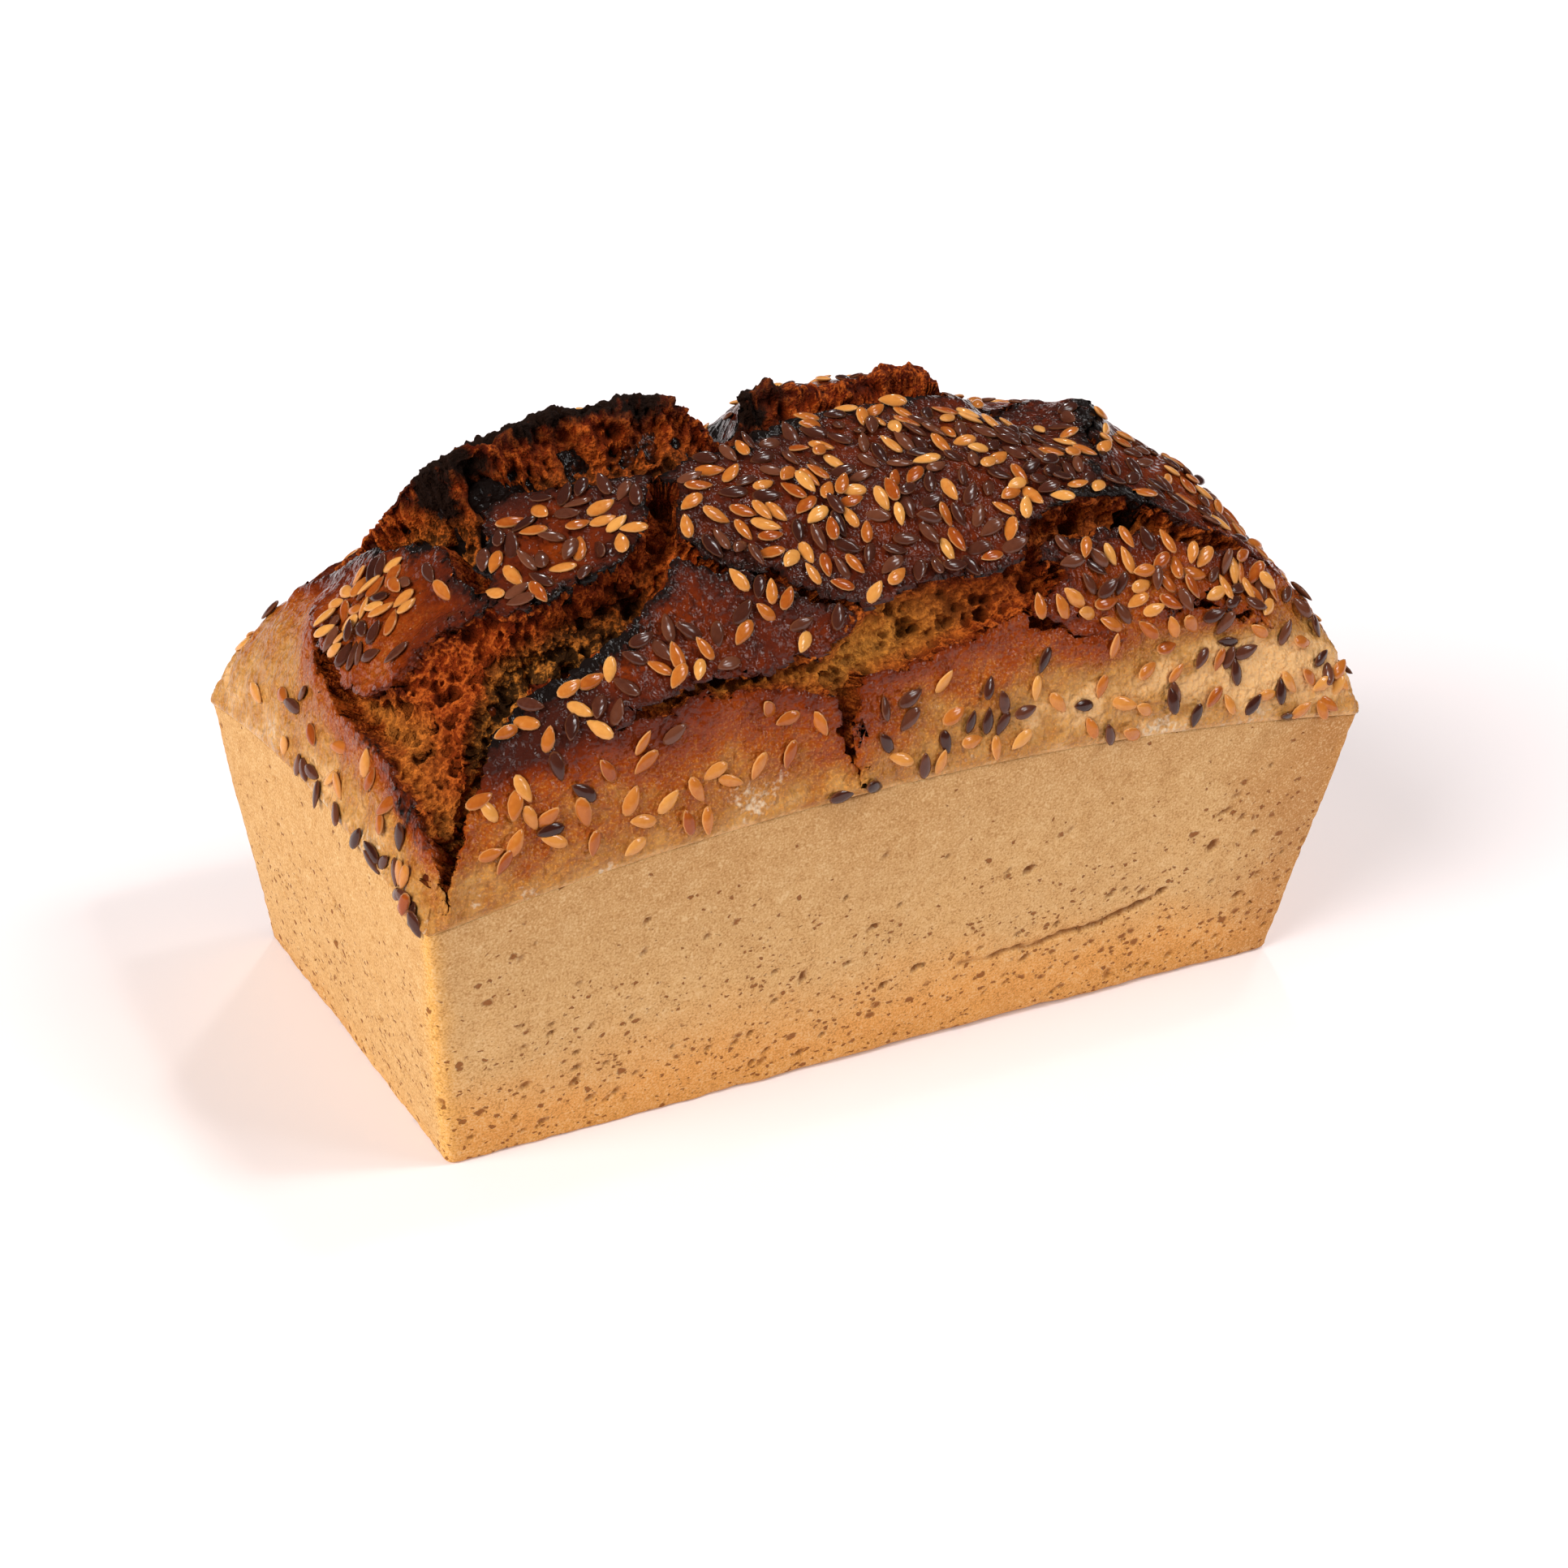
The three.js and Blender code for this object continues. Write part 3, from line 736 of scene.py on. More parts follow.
@dataclass(frozen=True)
class TornCrumb(Finish):
    """Torn rye crumb: coarse and spongy, toasted orange where the oven reached it, olive grey deeper down."""

    name: str = "torn rye crumb"
    mild_stops: Stops = ((0.00, "#C8621C"), (0.25, "#D07E30"), (0.55, "#B27632"), (0.80, "#704A20"),
                         (1.00, "#463018"))
    toasted_stops: Stops = ((0.00, "#5A1A08"), (0.25, "#7C2A0A"), (0.55, "#86330E"), (0.80, "#6E3412"),
                            (1.00, "#50290F"))
    # lighter tips of the grain: random specks, plus a painted highlight on the raised grit
    mild_grain: str = "#F4A040"
    toasted_grain: str = "#CC6222"
    grain_share: float = 0.85
    # colour of the painted shade in the bubbles and caves
    hollow_shade_colour: str = "#1A0C05"
    char_colour: str = "#22140E"

    def dress(self, node: Callable, place: Socket) -> dict:
        """Colour by depth under the skin, painted shade in the hollows, burnt on the crests."""
        depth, hollow, char, toast, ridge = (node("Attribute", out="Fac", attribute_name=name)
                                             for name in ("depth", "hollow", "char", "toast", "ridge"))
        patch, grain = (node("TexNoise", {"Vector": place, "Scale": 1 / (size * MM), "Detail": 3.0}, "Fac")
                        for size in (4.0, 0.6))
        at = node("Math", (patch, 0.5, depth), operation="MULTIPLY_ADD")
        at = node("Math", (grain, 0.3, at), operation="MULTIPLY_ADD")
        at = node("Math", (at, 0.40), operation="SUBTRACT")
        mild, hot = (node("ValToRGB", (at,), "Color", stops)
                     for stops in (self.mild_stops, self.toasted_stops))
        # tips lighten where the grain noise is high and, as a painted highlight, where the grit stands up; they
        # dim in the bubbles
        grainy = node("Math", (grain, 1.3, ridge), operation="MULTIPLY_ADD")
        grain_and_lit_tips = node("MapRange", {"Value": grainy, "From Min": 1.02, "From Max": 1.38,
                                 "To Max": self.grain_share})
        burnt = node("Math", (grain, 0.6, char), operation="MULTIPLY_ADD")
        burnt = node("MapRange", {"Value": burnt, "From Min": 0.5, "From Max": 0.95})
        tip_colour = node("Mix", {0: toast, 6: linear(self.mild_grain), 7: linear(self.toasted_grain)}, 2,
                          data_type="RGBA")
        colour = mild
        for mask, over in ((toast, hot), (grain_and_lit_tips, tip_colour), (hollow, linear(self.hollow_shade_colour)),
                           (burnt, linear(self.char_colour))):
            colour = node("Mix", {0: mask, 6: colour, 7: over}, 2, data_type="RGBA")
        bump = node("Bump", {"Strength": 1.0, "Distance": 1.1 * MM, "Height": grain})
        return {"Base Color": colour, "Roughness": 0.8, "Specular IOR Level": 0.12, "Normal": bump}


@dataclass(frozen=True)
class SeedCoat(Finish):
    """Linseed coat: smooth, hard and glossy, a shade lighter round its edge: partly its own paler margin, partly
    a painted sheen.
    """

    name: str = "golden linseed"
    middle_stops: Stops = ((0.0, "#944210"), (0.5, "#BA6A26"), (1.0, "#D8964A"))
    # lighter edge, partly a painted sheen
    rim_sheen_colour: str = "#E8B474"
    rim_sheen_share: float = 0.55
    roughness: float = 0.16

    def dress(self, node: Callable, place: Socket) -> dict:
        """One tone for each seed, with the lighter edge, which is partly a painted sheen."""
        tone, rim = (node("Attribute", out="Fac", attribute_name=name) for name in ("tone", "rim"))
        streak = node("TexNoise", {"Vector": place, "Scale": 1 / (0.9 * MM), "Detail": 2.0}, "Fac")
        at = node("Math", (streak, 0.4, tone), operation="MULTIPLY_ADD")
        at = node("Math", (at, 0.2), operation="SUBTRACT")
        middle = node("ValToRGB", (at,), "Color", self.middle_stops)
        share = node("Math", (rim, self.rim_sheen_share), operation="MULTIPLY")
        colour = node("Mix", {0: share, 6: middle, 7: linear(self.rim_sheen_colour)}, 2, data_type="RGBA")
        bump = node("Bump", {"Strength": 0.15, "Distance": 0.1 * MM, "Height": streak})
        return {"Base Color": colour, "Roughness": self.roughness, "Specular IOR Level": 0.5, "Normal": bump}


class SeedKind(Enum):
    """The two kinds of linseed on the loaf, each with its coat."""

    GOLDEN = SeedCoat()
    # brown seeds: middle tones, then the lighter edge's colour, partly a painted sheen
    BROWN = SeedCoat("brown linseed", ((0.0, "#341710"), (0.5, "#4A2418"), (1.0, "#683A26")), "#7E4C2E",
                     rim_sheen_share=0.6, roughness=0.18)


# ---- the pieces ----


@dataclass
class TinSide:
    """The walls that the tin pressed, with the base: one closed piece."""

    form: LoafForm
    cells_along: int = 300
    cells_across: int = 156
    cells_up: int = 86
    foot_rows: int = 4
    foot_radius: float = 1.4
    # the foot's radius grows where the front bowed up: x in millimetres, and a share of the radius
    foot_bow: Blob = Blob(30, 0, 45, 1, 1.1)
    wall_bulge: float = 1.1
    corner_wear: float = 0.35
    heart_height: float = 30.0
    pit_draw: int = 7310
    pit_count: int = 260
    # pits that stand out, on the front wall: x, height, half width, half height, depth
    front_pits: tuple[tuple[float, float, float, float, float], ...] = (
        (26, 38, 1.3, 1.0, 1.2), (70, 33, 1.3, 1.3, 1.2), (71, 41, 1.8, 0.5, 0.8), (-22, 25, 0.9, 1.3, 1.0),
        (4, 20, 1.5, 0.7, 1.2), (-8, 33, 1.6, 0.5, 0.8), (60, 24, 1.3, 0.8, 1.4),
    )
    # the long slanting crease low on the front wall: x, height and depth
    crease: Path = Path(((14, 18, 0.5), (32, 18.5, 1.1), (45, 19.5, 1.4), (58, 22.5, 2.0), (60, 23, 0.8)))

    def around(self, share: Array) -> tuple[Array, Array]:
        """Walks round the plan's square anticlockwise from the near left corner.

        Args:
            share: 0..1 round the loaf.

        Returns:
            u and v, each -1..1, with cells of even size on each wall.
        """
        walls = (self.cells_along, self.cells_across) * 2
        front, right, back, left = (np.clip((share * sum(walls) - sum(walls[:k])) / walls[k], 0, 1)
                                    for k in range(4))
        return -1 + 2 * front - 2 * back, -1 + 2 * right - 2 * left

    def build(self) -> Piece:
        """Rolls a grid round the plan, shapes and pits it, and closes it at the base and under the crust."""
        rows = self.cells_up + self.foot_rows
        side = new_grid("loaf_side", 2 * (self.cells_along + self.cells_across), rows)
        flat = get_points(side)
        u, v = self.around((flat[:, 0] + 1) / 2)
        row = (flat[:, 1] + 1) / 2 * rows - self.foot_rows
        up = np.clip(row / self.cells_up, 0, 1)
        rim = self.form.rim(u, v)

        # the foot turns in under the wall with a small radius, wider where the front bowed up
        turn = np.clip(-row / self.foot_rows, 0, 1) * QUARTER_TURN
        base = self.form.plan_point(u, v, 0.0)
        bowed = self.foot_bow.at(np.stack([base[0], np.zeros_like(v)])) * (v == -1)
        foot = self.foot_radius * np.clip(0.6 + bowed + 0.35 * noise(flat_points(base), 14.0, 57), 0.3, 2.0)
        height = np.where(row < 0, foot * (1 - np.sin(turn)), foot + up * (rim - foot))
        inset = np.where(row < 0, foot * (1 - np.cos(turn)), 0.0)
        plan_height = height / rim * self.form.rim_height
        x, y = self.form.plan_point(u, v, plan_height)
        normal = self.wall_normal(x, y, plan_height)
        middle_of_wall = np.clip((1 - np.minimum(np.abs(u), np.abs(v))) * 8, 0, 1)
        bulge = self.wall_bulge * np.sin(math.pi * np.clip(height / rim, 0, 1)) * middle_of_wall
        points = np.stack([x, y, height], axis=1)
        waves = noises(points, (0.45, 30.0, 71), (0.12, 5.0, 72))
        waves += noises(points, (0.25, 11.0, 74), (0.18, 3.5, 70)) * smoothstep(height, 5.0, 0.0)
        points += normal * ((bulge + waves * smoothstep(up, 1.0, 0.94)) - inset)[:, None]
        corner = self.corner_closeness(x, y, plan_height)
        points -= normal * (self.corner_wear * corner * np.abs(noise(points, 2.4, 58)))[:, None]
        pit = self.pit_depth(points, u, v)
        points -= normal * pit[:, None]
        points[row < 0.5 - self.foot_rows, 2] = 0.0
        points[:, 2] = np.maximum(points[:, 2], 0.0)
        set_points(side, points)

        at_left = u <= -0.999
        cloud = noise(points, 16.0, 75)
        at_right = smoothstep(x + 8 * cloud, 66.0, 98.0) * 0.65
        scorched = 0.9 * corner * (x < 0) * (y > 0)
        low_down = smoothstep(height / rim, 0.9, 0.2) * (1 + 0.9 * noise(points, 7.0, 59))
        set_shades(side, low=(1 - height / rim) * np.where(at_left, 0.45, 1.0),
                   # pit: depth of the pits and the crease, which the material darkens as painted shade
                   edge=np.clip(corner + 0.22 * at_left, 0, 1), pit=np.clip(pit / 0.8, 0, 1),
                   tanned=np.clip(at_right + scorched, 0, 1), porous=np.clip(low_down + 0.25 * cloud, 0.04, 1))
        self.close_seam_and_base(side)
        close_towards(side, self.heart_height, 1.0)
        smooth_and_dress(side, TinPressedCrust().build())
        return side

    def wall_normal(self, x: Array, y: Array, height: Array) -> Array:
        """Outward directions of the walls, turning over the width of a corner."""
        half_length, half_width = self.form.half_size(height)
        soft = self.form.wall_corner_radius
        to_end = np.clip((np.abs(x) - (half_length - soft)) / soft, 0, 1)
        to_side = np.clip((np.abs(y) - (half_width - soft)) / soft, 0, 1)
        normal = np.stack([np.sign(x) * to_end, np.sign(y) * to_side, np.full_like(x, -0.15)], axis=1)
        return normal / np.linalg.norm(normal, axis=1, keepdims=True)

    def corner_closeness(self, x: Array, y: Array, height: Array) -> Array:
        """1 on the browned vertical corners and the foot, fading over a few millimetres."""
        half_length, half_width = self.form.half_size(height)
        to_corner = np.maximum(half_length - np.abs(x), 0) + np.maximum(half_width - np.abs(y), 0)
        ragged = 1 + 0.5 * noise(np.stack([x, y, height], axis=1), 7.0, 73)
        corner = np.exp(-(to_corner / (2.2 * ragged)) ** 2)
        foot = 0.4 * np.exp(-((height / (4.0 * ragged)) ** 2))
        return np.clip(np.maximum(corner, foot), 0, 1)

    def pit_depth(self, points: Array, u: Array, v: Array) -> Array:
        """Depth of the crease and of the pits: a few named ones in front, and many drawn near the foot."""
        draw = np.random.default_rng(self.pit_draw)
        reach = (self.form.base_half_length + 4, self.form.base_half_width + 4)
        places = [(0, -1, *pit) for pit in self.front_pits]
        for _ in range(self.pit_count):
            wall = int(draw.choice([0, 0, 1]))
            face = int(draw.choice([-1, 1]))
            where = draw.uniform(-reach[wall], reach[wall])
            z = 4 + 46 * draw.random() ** 1.7
            half_wide = draw.uniform(0.5, 0.9) * draw.choice([1, 1, 1.4])
            places.append((wall, face, where, z, half_wide, half_wide * draw.uniform(0.4, 0.8),
                           draw.uniform(0.5, 1.0)))
        depth = np.zeros(len(points))
        for wall, face, where, z, half_wide, half_high, deep in places:
            run = points[:, wall]
            near = ((v, u)[wall] == face) & (np.abs(run - where) < 4) & (np.abs(points[:, 2] - z) < 4)
            off_run = run[near] - where
            off_up = points[near, 2] - z - 0.3 * off_run
            inside = 1 - (off_run / half_wide) ** 2 - (off_up / half_high) ** 2
            depth[near] = np.maximum(depth[near], deep * np.sqrt(np.clip(inside, 0, 1)))
        return depth + self.crease_depth(points, v)

    def crease_depth(self, points: Array, v: Array) -> Array:
        """Depth of the crease, where two folds of dough met."""
        near = (v == -1) & (points[:, 0] > 8) & (points[:, 0] < 66)
        close = points[near]
        wander = noises(close, (0.7, 5.0, 76), (0.35, 1.8, 77))
        distance, side, size = self.crease.nearest(np.stack([close[:, 0], close[:, 2] + wander]))
        reach = np.where(side > 0, 0.8, 0.4) * (1 + 0.6 * noise(close, 3.0, 78))
        broken = np.clip(0.75 + 1.1 * noise(close, 4.0, 79), 0.1, 1.2)
        depth = np.zeros(len(points))
        depth[near] = size * broken * np.exp(-((distance / reach) ** 2))
        return depth

    def close_seam_and_base(self, side: Piece) -> None:
        """Joins the first and last column of the rolled grid, and closes the foot with a flat base."""
        with edit_mode(side):
            bpy.ops.mesh.select_all(action="SELECT")
            bpy.ops.mesh.remove_doubles(threshold=1e-6)
        ends = read_all(side.data.edges, "vertices", 2, int)
        with edit_mode(side, "EDGE", (get_points(side)[ends, 2] < 0.001 * MM).all(axis=1)):
            for inward in (0.9, 0.5):
                bpy.ops.mesh.extrude_edges_move()
                bpy.ops.transform.resize(value=(inward, inward, 1), center_override=(0, 0, 0))
            bpy.ops.mesh.extrude_edges_move()
            bpy.ops.mesh.merge(type="CENTER")


@dataclass
class DomedCrust:
    """The skin of the domed top: dark plates with ragged lips, sunk out of sight inside the tears."""

    burst: BurstCrust
    cells_along: int = 386
    cells_across: int = 246
    under_rows: int = 2
    # how far each row under the rim is drawn in, and how far it drops
    under_draw: tuple[float, float, float] = (0.0, 0.25, 2.4)
    under_drop: tuple[float, float, float] = (0.0, 0.25, 1.2)
    # cells this near to a tear's edge, in cell widths, move onto it
    snap_share: float = 0.55
    far_lip_lean: float = 1.3
    near_lip_lean: float = 0.6
    lip_undercut: float = 1.6
    lip_thickness: float = 0.8
    sunk_under_crumb: float = 5.0
    sag_behind_crest: float = 2.4
    heart_height: float = 30.0
    # where the skin is browner or paler than its height alone makes it
    bake_blobs: tuple[Blob, ...] = blobs(
        (-70, -52, 11, 7, 0.55), (-52, -60, 22, 8, 0.16), (-50, -84, 30, 8, 0.18), (-67, -54, 16, 7, 0.42),
        (52, -72, 30, 12, -0.18), (90, -83, 26, 8, -0.20), (-98, 32, 14, 16, -0.10), (-102, -45, 3, 16, 0.30),
        (-84, 26, 8, 8, 0.15), (-76, 36, 8, 10, 0.25), (66, -60, 22, 10, -0.04), (-119, 0, 6, 50, -0.22),
        (-104, -60, 8, 20, 0.06), (-104, -30, 10, 20, 0.06), (-20, -50, 22, 7, 0.16), (5, -32, 30, 16, 0.10),
        (100, -20, 16, 40, -0.20), (74, -70, 20, 9, -0.26), (104, -62, 16, 16, -0.20),
        (24, -80, 20, 10, -0.20), (0, 60, 80, 22, -0.05),
    )
    char_blobs: tuple[Blob, ...] = blobs(
        (-74, -49, 9, 4, 0.9), (-104, -44, 5, 14, 0.55), (-62, -46, 9, 4, 0.8), (-48, -48, 10, 4.5, 0.75),
        (-37, -46, 7, 4, 0.6), (-54, -14, 8, 4, 0.7), (-53, -32, 9, 3, 0.5), (-72, 4, 8, 5, 0.5),
        (-98, -20, 7, 8, 0.35), (-8, -8, 12, 5, 0.6), (22, -11, 14, 4, 0.5), (48, -3, 9, 7, 0.8),
        (41, -34, 9, 4, 0.5), (28, -24, 9, 6, 0.35), (-48, 17, 22, 6, 0.65), (-62, 26, 10, 8, 0.6),
        (2, 15, 12, 6, 0.8), (26, 14, 8, 5, 0.7),
    )
    notch_char: Blob = Blob(-8, 36, 9, 13, 1.0)

    def build(self) -> Piece:
        """Lays a grid over the dome, lifts and sinks it, tucks it under the rim and closes it inside."""
        form = self.burst.form
        crust = new_grid("loaf_crust", self.cells_along + 2 * self.under_rows,
                         self.cells_across + 2 * self.under_rows)
        half_cells = np.array([[self.cells_along], [self.cells_across]]) / 2
        steps = get_points(crust)[:, :2].T * (half_cells + self.under_rows)
        beyond = np.clip(np.round((np.abs(steps) - half_cells).max(axis=0)), 0, self.under_rows).astype(int)
        spots = np.clip(steps / half_cells, -1, 1) * form.reach

        torn = self.burst.torn(spots)
        near = np.abs(torn.edge) < self.snap_share * (2 * form.crown_to_end / self.cells_along)
        on_edge = np.where(near, torn.edge, 0.0)
        edge = np.where(near, 0.0, torn.edge)
        inside = np.maximum(-edge, 0)
        fade = self.burst.fade(spots)

        # lips lean over the tear, and the sunk skin starts under them
        lean = np.where(torn.far_side, self.far_lip_lean, self.near_lip_lean)
        lean = lean * smoothstep(edge, 3.0, 0.0) * (edge >= 0)
        undercut = self.lip_undercut * smoothstep(inside, 0.0, 0.8) * smoothstep(inside, 4.0, 1.0)
        shift = np.where(np.abs(torn.edge) < 6, (undercut - lean) * fade - on_edge, 0.0)
        moved = spots + self.burst.edge_slope(spots) * shift

        char = self.char(spots, edge)
        sink = smoothstep(inside, 0.0, 1.0) * (self.lip_thickness + torn.depth + self.sunk_under_crumb)
        flat = flat_points(spots)
        crumbly = char * noises(flat, (0.55, 2.6, 61), (0.275, 1.3, 62))
        blister = 0.22 * noise(flat, 2.0, 63)
        behind_crest = np.clip(self.burst.crest(spots) / 3, 0, 1) * np.exp(-((edge / 4.0) ** 2))
        lift = self.burst.skin_height(spots, edge) + fade * (crumbly + blister - sink)
        points = form.over_dome(moved, lift - self.sag_behind_crest * behind_crest)
        points += self.burst.tip_lean(spots)
        self.tuck_under(points, spots, beyond)
        set_points(crust, points)

        set_shades(crust, bake=self.bake(spots, points, edge), char=char, torn=smoothstep(inside, 0.0, 0.8),
                   flour=self.flour(spots))
        close_towards(crust, self.heart_height, 1.0)
        smooth_and_dress(crust, BakedSkin().build())
        return crust

    def tuck_under(self, points: Array, spots: Array, beyond: Array) -> None:
        """Turns the border of the skin down and in, so that it ends inside the wall.

        Args:
            points: (n, 3) points of the skin, which are moved.
            spots: where they lie over the crust.
            beyond: how many rows past the rim each one is.
        """
        at_end, at_side = np.abs(spots) >= self.burst.form.reach
        draw = np.array(self.under_draw)[beyond]
        points[:, 0] -= np.sign(points[:, 0]) * draw * at_end
        points[:, 1] -= np.sign(points[:, 1]) * draw * (at_side & ~at_end)
        points[:, 2] -= np.array(self.under_drop)[beyond]

    def bake(self, spots: Array, points: Array, edge: Array) -> Array:
        """How brown the skin is: pale at the rim, dark on top and by the tears, with patches."""
        form = self.burst.form
        rise = form.rise(*form.share(spots))
        bake = 0.12 + 0.42 * smoothstep(rise, 0.0, 0.55) + 0.30 * smoothstep(rise, 0.4, 0.95)
        bake += sum_blobs(self.bake_blobs, spots) * smoothstep(rise, 0.0, 0.2)
        # the front band is browner than the sides, except near its right end
        bake += 0.05 * smoothstep(-spots[1], 52.0, 76.0) * smoothstep(spots[0], 50.0, 5.0)
        bake += noises(points, (0.10, 14.0, 67), (0.05, 7.0, 68), (0.08, 4.5, 62))
        by_tear = np.exp(-np.maximum(edge, 0) / (3.5 + 2.0 * noise(points, 7.0, 60)))
        bake += 0.26 * by_tear * smoothstep(rise, 0.04, 0.22)
        seam = form.to_rim(spots) + 0.8 * noise(points, 6.0, 64)
        return bake * (0.25 + 0.75 * smoothstep(seam, 0.2, 2.2))

    def char(self, spots: Array, edge: Array) -> Array:
        """How burnt the skin is: in patches, and along the lips that stood highest."""
        rise = self.burst.form.rise(*self.burst.form.share(spots))
        flat = flat_points(spots)
        outside = np.maximum(edge, 0)
        lips = 0.5 * np.exp(-((outside / 1.6) ** 2)) * smoothstep(rise, 0.35, 0.8)
        near_edge = 0.35 + 0.85 * np.exp(-((outside / (2.6 + 1.6 * noise(flat, 4.0, 66))) ** 2))
        patchy = 1 + 0.7 * noise(flat, 5.0, 69)
        char = (sum_blobs(self.char_blobs, spots) * near_edge + lips) * patchy
        return np.clip(char + self.notch_char.at(spots), 0, 1)

    def flour(self, spots: Array) -> Array:
        """Pale dusting low on the skin, most of it above the front rim."""
        patches = np.clip(0.55 + 0.8 * noise(flat_points(spots), 12.0, 68), 0, 1)
        return smoothstep(self.burst.form.to_rim(spots), 26.0, 3.0) * patches


@dataclass(frozen=True)
class CrumbPart:
    """One piece of the crumb: its name, its cells, and whether it is the crest tear's or lies left of a place.

    The cells are narrower across the loaf, because most walls of the tears face the front.
    """

    name: str
    cell_along: float
    cell_across: float
    in_crest_tear: bool
    from_along: float
    to_along: float


@dataclass
class TornInside:
    """The torn crumb that shows in the tears: spongy relief with pores, closed towards the loaf's heart."""

    burst: BurstCrust
    parts: tuple[CrumbPart, ...] = (
        CrumbPart("crumb_crest", 0.23, 0.17, True, -124, 124),
        CrumbPart("crumb_left", 0.22, 0.18, False, -124, -27),
        CrumbPart("crumb_right", 0.26, 0.13, False, -27, 124),
    )
    # the line between the crest tear and the others
    divide: Path = Path(((-124, 8, 0), (-86, 8, 0), (-66, 0, 0), (-46, -8, 0), (-28, -13, 0), (0, -12, 0),
                         (44, -1, 0), (124, 10, 0)))
    overlap: float = 0.8
    margin: float = 2.0
    depth_at_edge: float = 0.6
    depth_under_skin: float = 1.8
    heart_height: float = 32.0
    heart_draw_in: float = 0.8
    # caves: along, across, radius, depth
    caves: tuple[tuple[float, float, float, float], ...] = (
        (-57, -42, 4.4, 5.5), (-76, -47, 3.6, 6.0), (-84, -44, 2.2, 3.0), (-101, -71, 2.0, 3.0),
        (-66, -35, 2.2, 2.5), (-41, -35, 2.6, 3.0), (-66, 17, 2.6, 3.0), (-70, 25, 3.2, 3.5),
        (-62, 16, 2.6, 3.0), (-75, 34, 2.4, 2.5), (-52, 12, 3.0, 3.0), (-44, 9, 2.0, 2.2), (-36, 11, 2.4, 2.4),
        (-23, 10, 2.8, 3.0), (6, 8, 2.0, 2.0), (34, -40, 2.4, 3.0), (46, -39, 2.8, 3.0), (0, -57, 2.4, 2.5),
    )
    # bubbles: their spacing, the share of it that is their radius, their depth, and how many are open
    bubbles: tuple[tuple[float, float, float, float], ...] = (
        (4.6, 0.38, 2.2, 0.6), (2.3, 0.42, 1.3, 0.8), (1.25, 0.44, 0.55, 0.85))
    # tears that opened late and stayed golden
    mild_blobs: tuple[Blob, ...] = blobs(
        (-36, -59, 22, 7, 0.75), (-5, -57, 13, 8, 0.85), (-13, -76, 6, 14, 0.8), (52, -44, 30, 8, 0.2),
        (-97, -20, 6, 20, 0.5))
    char_blobs: tuple[Blob, ...] = blobs(
        (-59, 24, 9, 12, 0.50), (-73, 33, 8, 12, 0.30), (-50, 19, 14, 6, 0.85), (-30, 19, 16, 6, 0.85),
        (-3, 14, 6, 7, 0.75))

    def build(self) -> list[Piece]:
        """Makes every part of the crumb and gives them one material."""
        pieces = [self.one_part(part) for part in self.parts]
        material = TornCrumb().build()
        for piece in pieces:
            smooth_and_dress(piece, material)
        return pieces

    def one_part(self, part: CrumbPart) -> Piece:
        """Cuts the torn patches out of a fine grid, sinks and roughens them, and closes them.

        Args:
            part: which part to make, and how fine.

        Returns:
            The closed crumb piece, without its material.
        """
        form = self.burst.form
        crumb = new_grid(part.name, round(2 * form.crown_to_end / part.cell_along),
                         round(2 * form.crown_to_side / part.cell_across))
        self.keep_only(crumb, self.belongs(get_points(crumb)[:, :2].T * form.reach, part))

        spots = get_points(crumb)[:, :2].T * form.reach
        torn = self.burst.torn(spots)
        covered = smoothstep(torn.edge, -0.5, 1.5)
        depth = torn.depth * self.burst.fade(spots) + self.depth_at_edge + self.depth_under_skin * covered
        points = form.over_dome(spots, self.burst.skin_height(spots, torn.edge) - depth)
        points += self.burst.tip_lean(spots)
        set_points(crumb, points)

        open_share = smoothstep(torn.edge, 0.5, -1.0)
        char = self.char(spots, points, torn)
        top = smoothstep(points[:, 2], 108.0, 114.0)
        lumps = 0.9 * noise(points, 6.5, 81) + (0.5 + 0.9 * top) * noise(points, 3.2, 82)
        cave = self.cave_depth(spots, points)
        normal = self.outward(crumb)
        points = points + normal * (open_share * (lumps + 0.7 * top) - cave)[:, None]
        foam = self.foam(points)
        grit = noises(points, (0.50, 1.4, 91), (0.25, 0.75, 92))
        points = points + normal * ((0.2 + 0.8 * open_share) * (grit - foam))[:, None]
        set_points(crumb, points)

        down = np.clip((depth - 0.8) / 11.0, 0, 1)
        toast = smoothstep(points[:, 2] + 7 * noise(points, 9.0, 93), 54.0, 80.0)
        toast *= 1 - np.clip(sum_blobs(self.mild_blobs, spots), 0, 1)
        toast *= 1 - 0.6 * smoothstep(down, 0.45, 0.95) * smoothstep(points[:, 2], 98, 88)
        by_skin = 0.9 * smoothstep(torn.edge + noise(points, 3.0, 95), -3.4, -0.4)
        # hollow: painted shade in the open bubbles and the caves
        set_shades(crumb, depth=down, hollow=np.clip(0.27 * foam + cave / 8.5, 0, 0.85),
                   # ridge: high on the raised grit and low in the bubbles, for the painted highlight on the
                   # grain
                   ridge=np.clip(0.5 + 0.6 * grit - 0.35 * foam, 0, 1), char=char,
                   toast=toast + (1 - toast) * by_skin)
        close_towards(crumb, self.heart_height, self.heart_draw_in)
        return crumb

    def belongs(self, spots: Array, part: CrumbPart) -> Array:
        """True where a spot lies in a tear, or close to one, and in this part of the crumb."""
        distance, side, _ = self.divide.nearest(spots)
        past_divide = distance * side * (1 if part.in_crest_tear else -1)
        here = (past_divide > -self.overlap) & (self.burst.form.to_rim(spots) > 1.0)
        here &= (spots[0] > part.from_along - self.overlap) & (spots[0] < part.to_along + self.overlap)
        here[here] = self.burst.torn(spots[:, here]).edge < self.margin
        return here

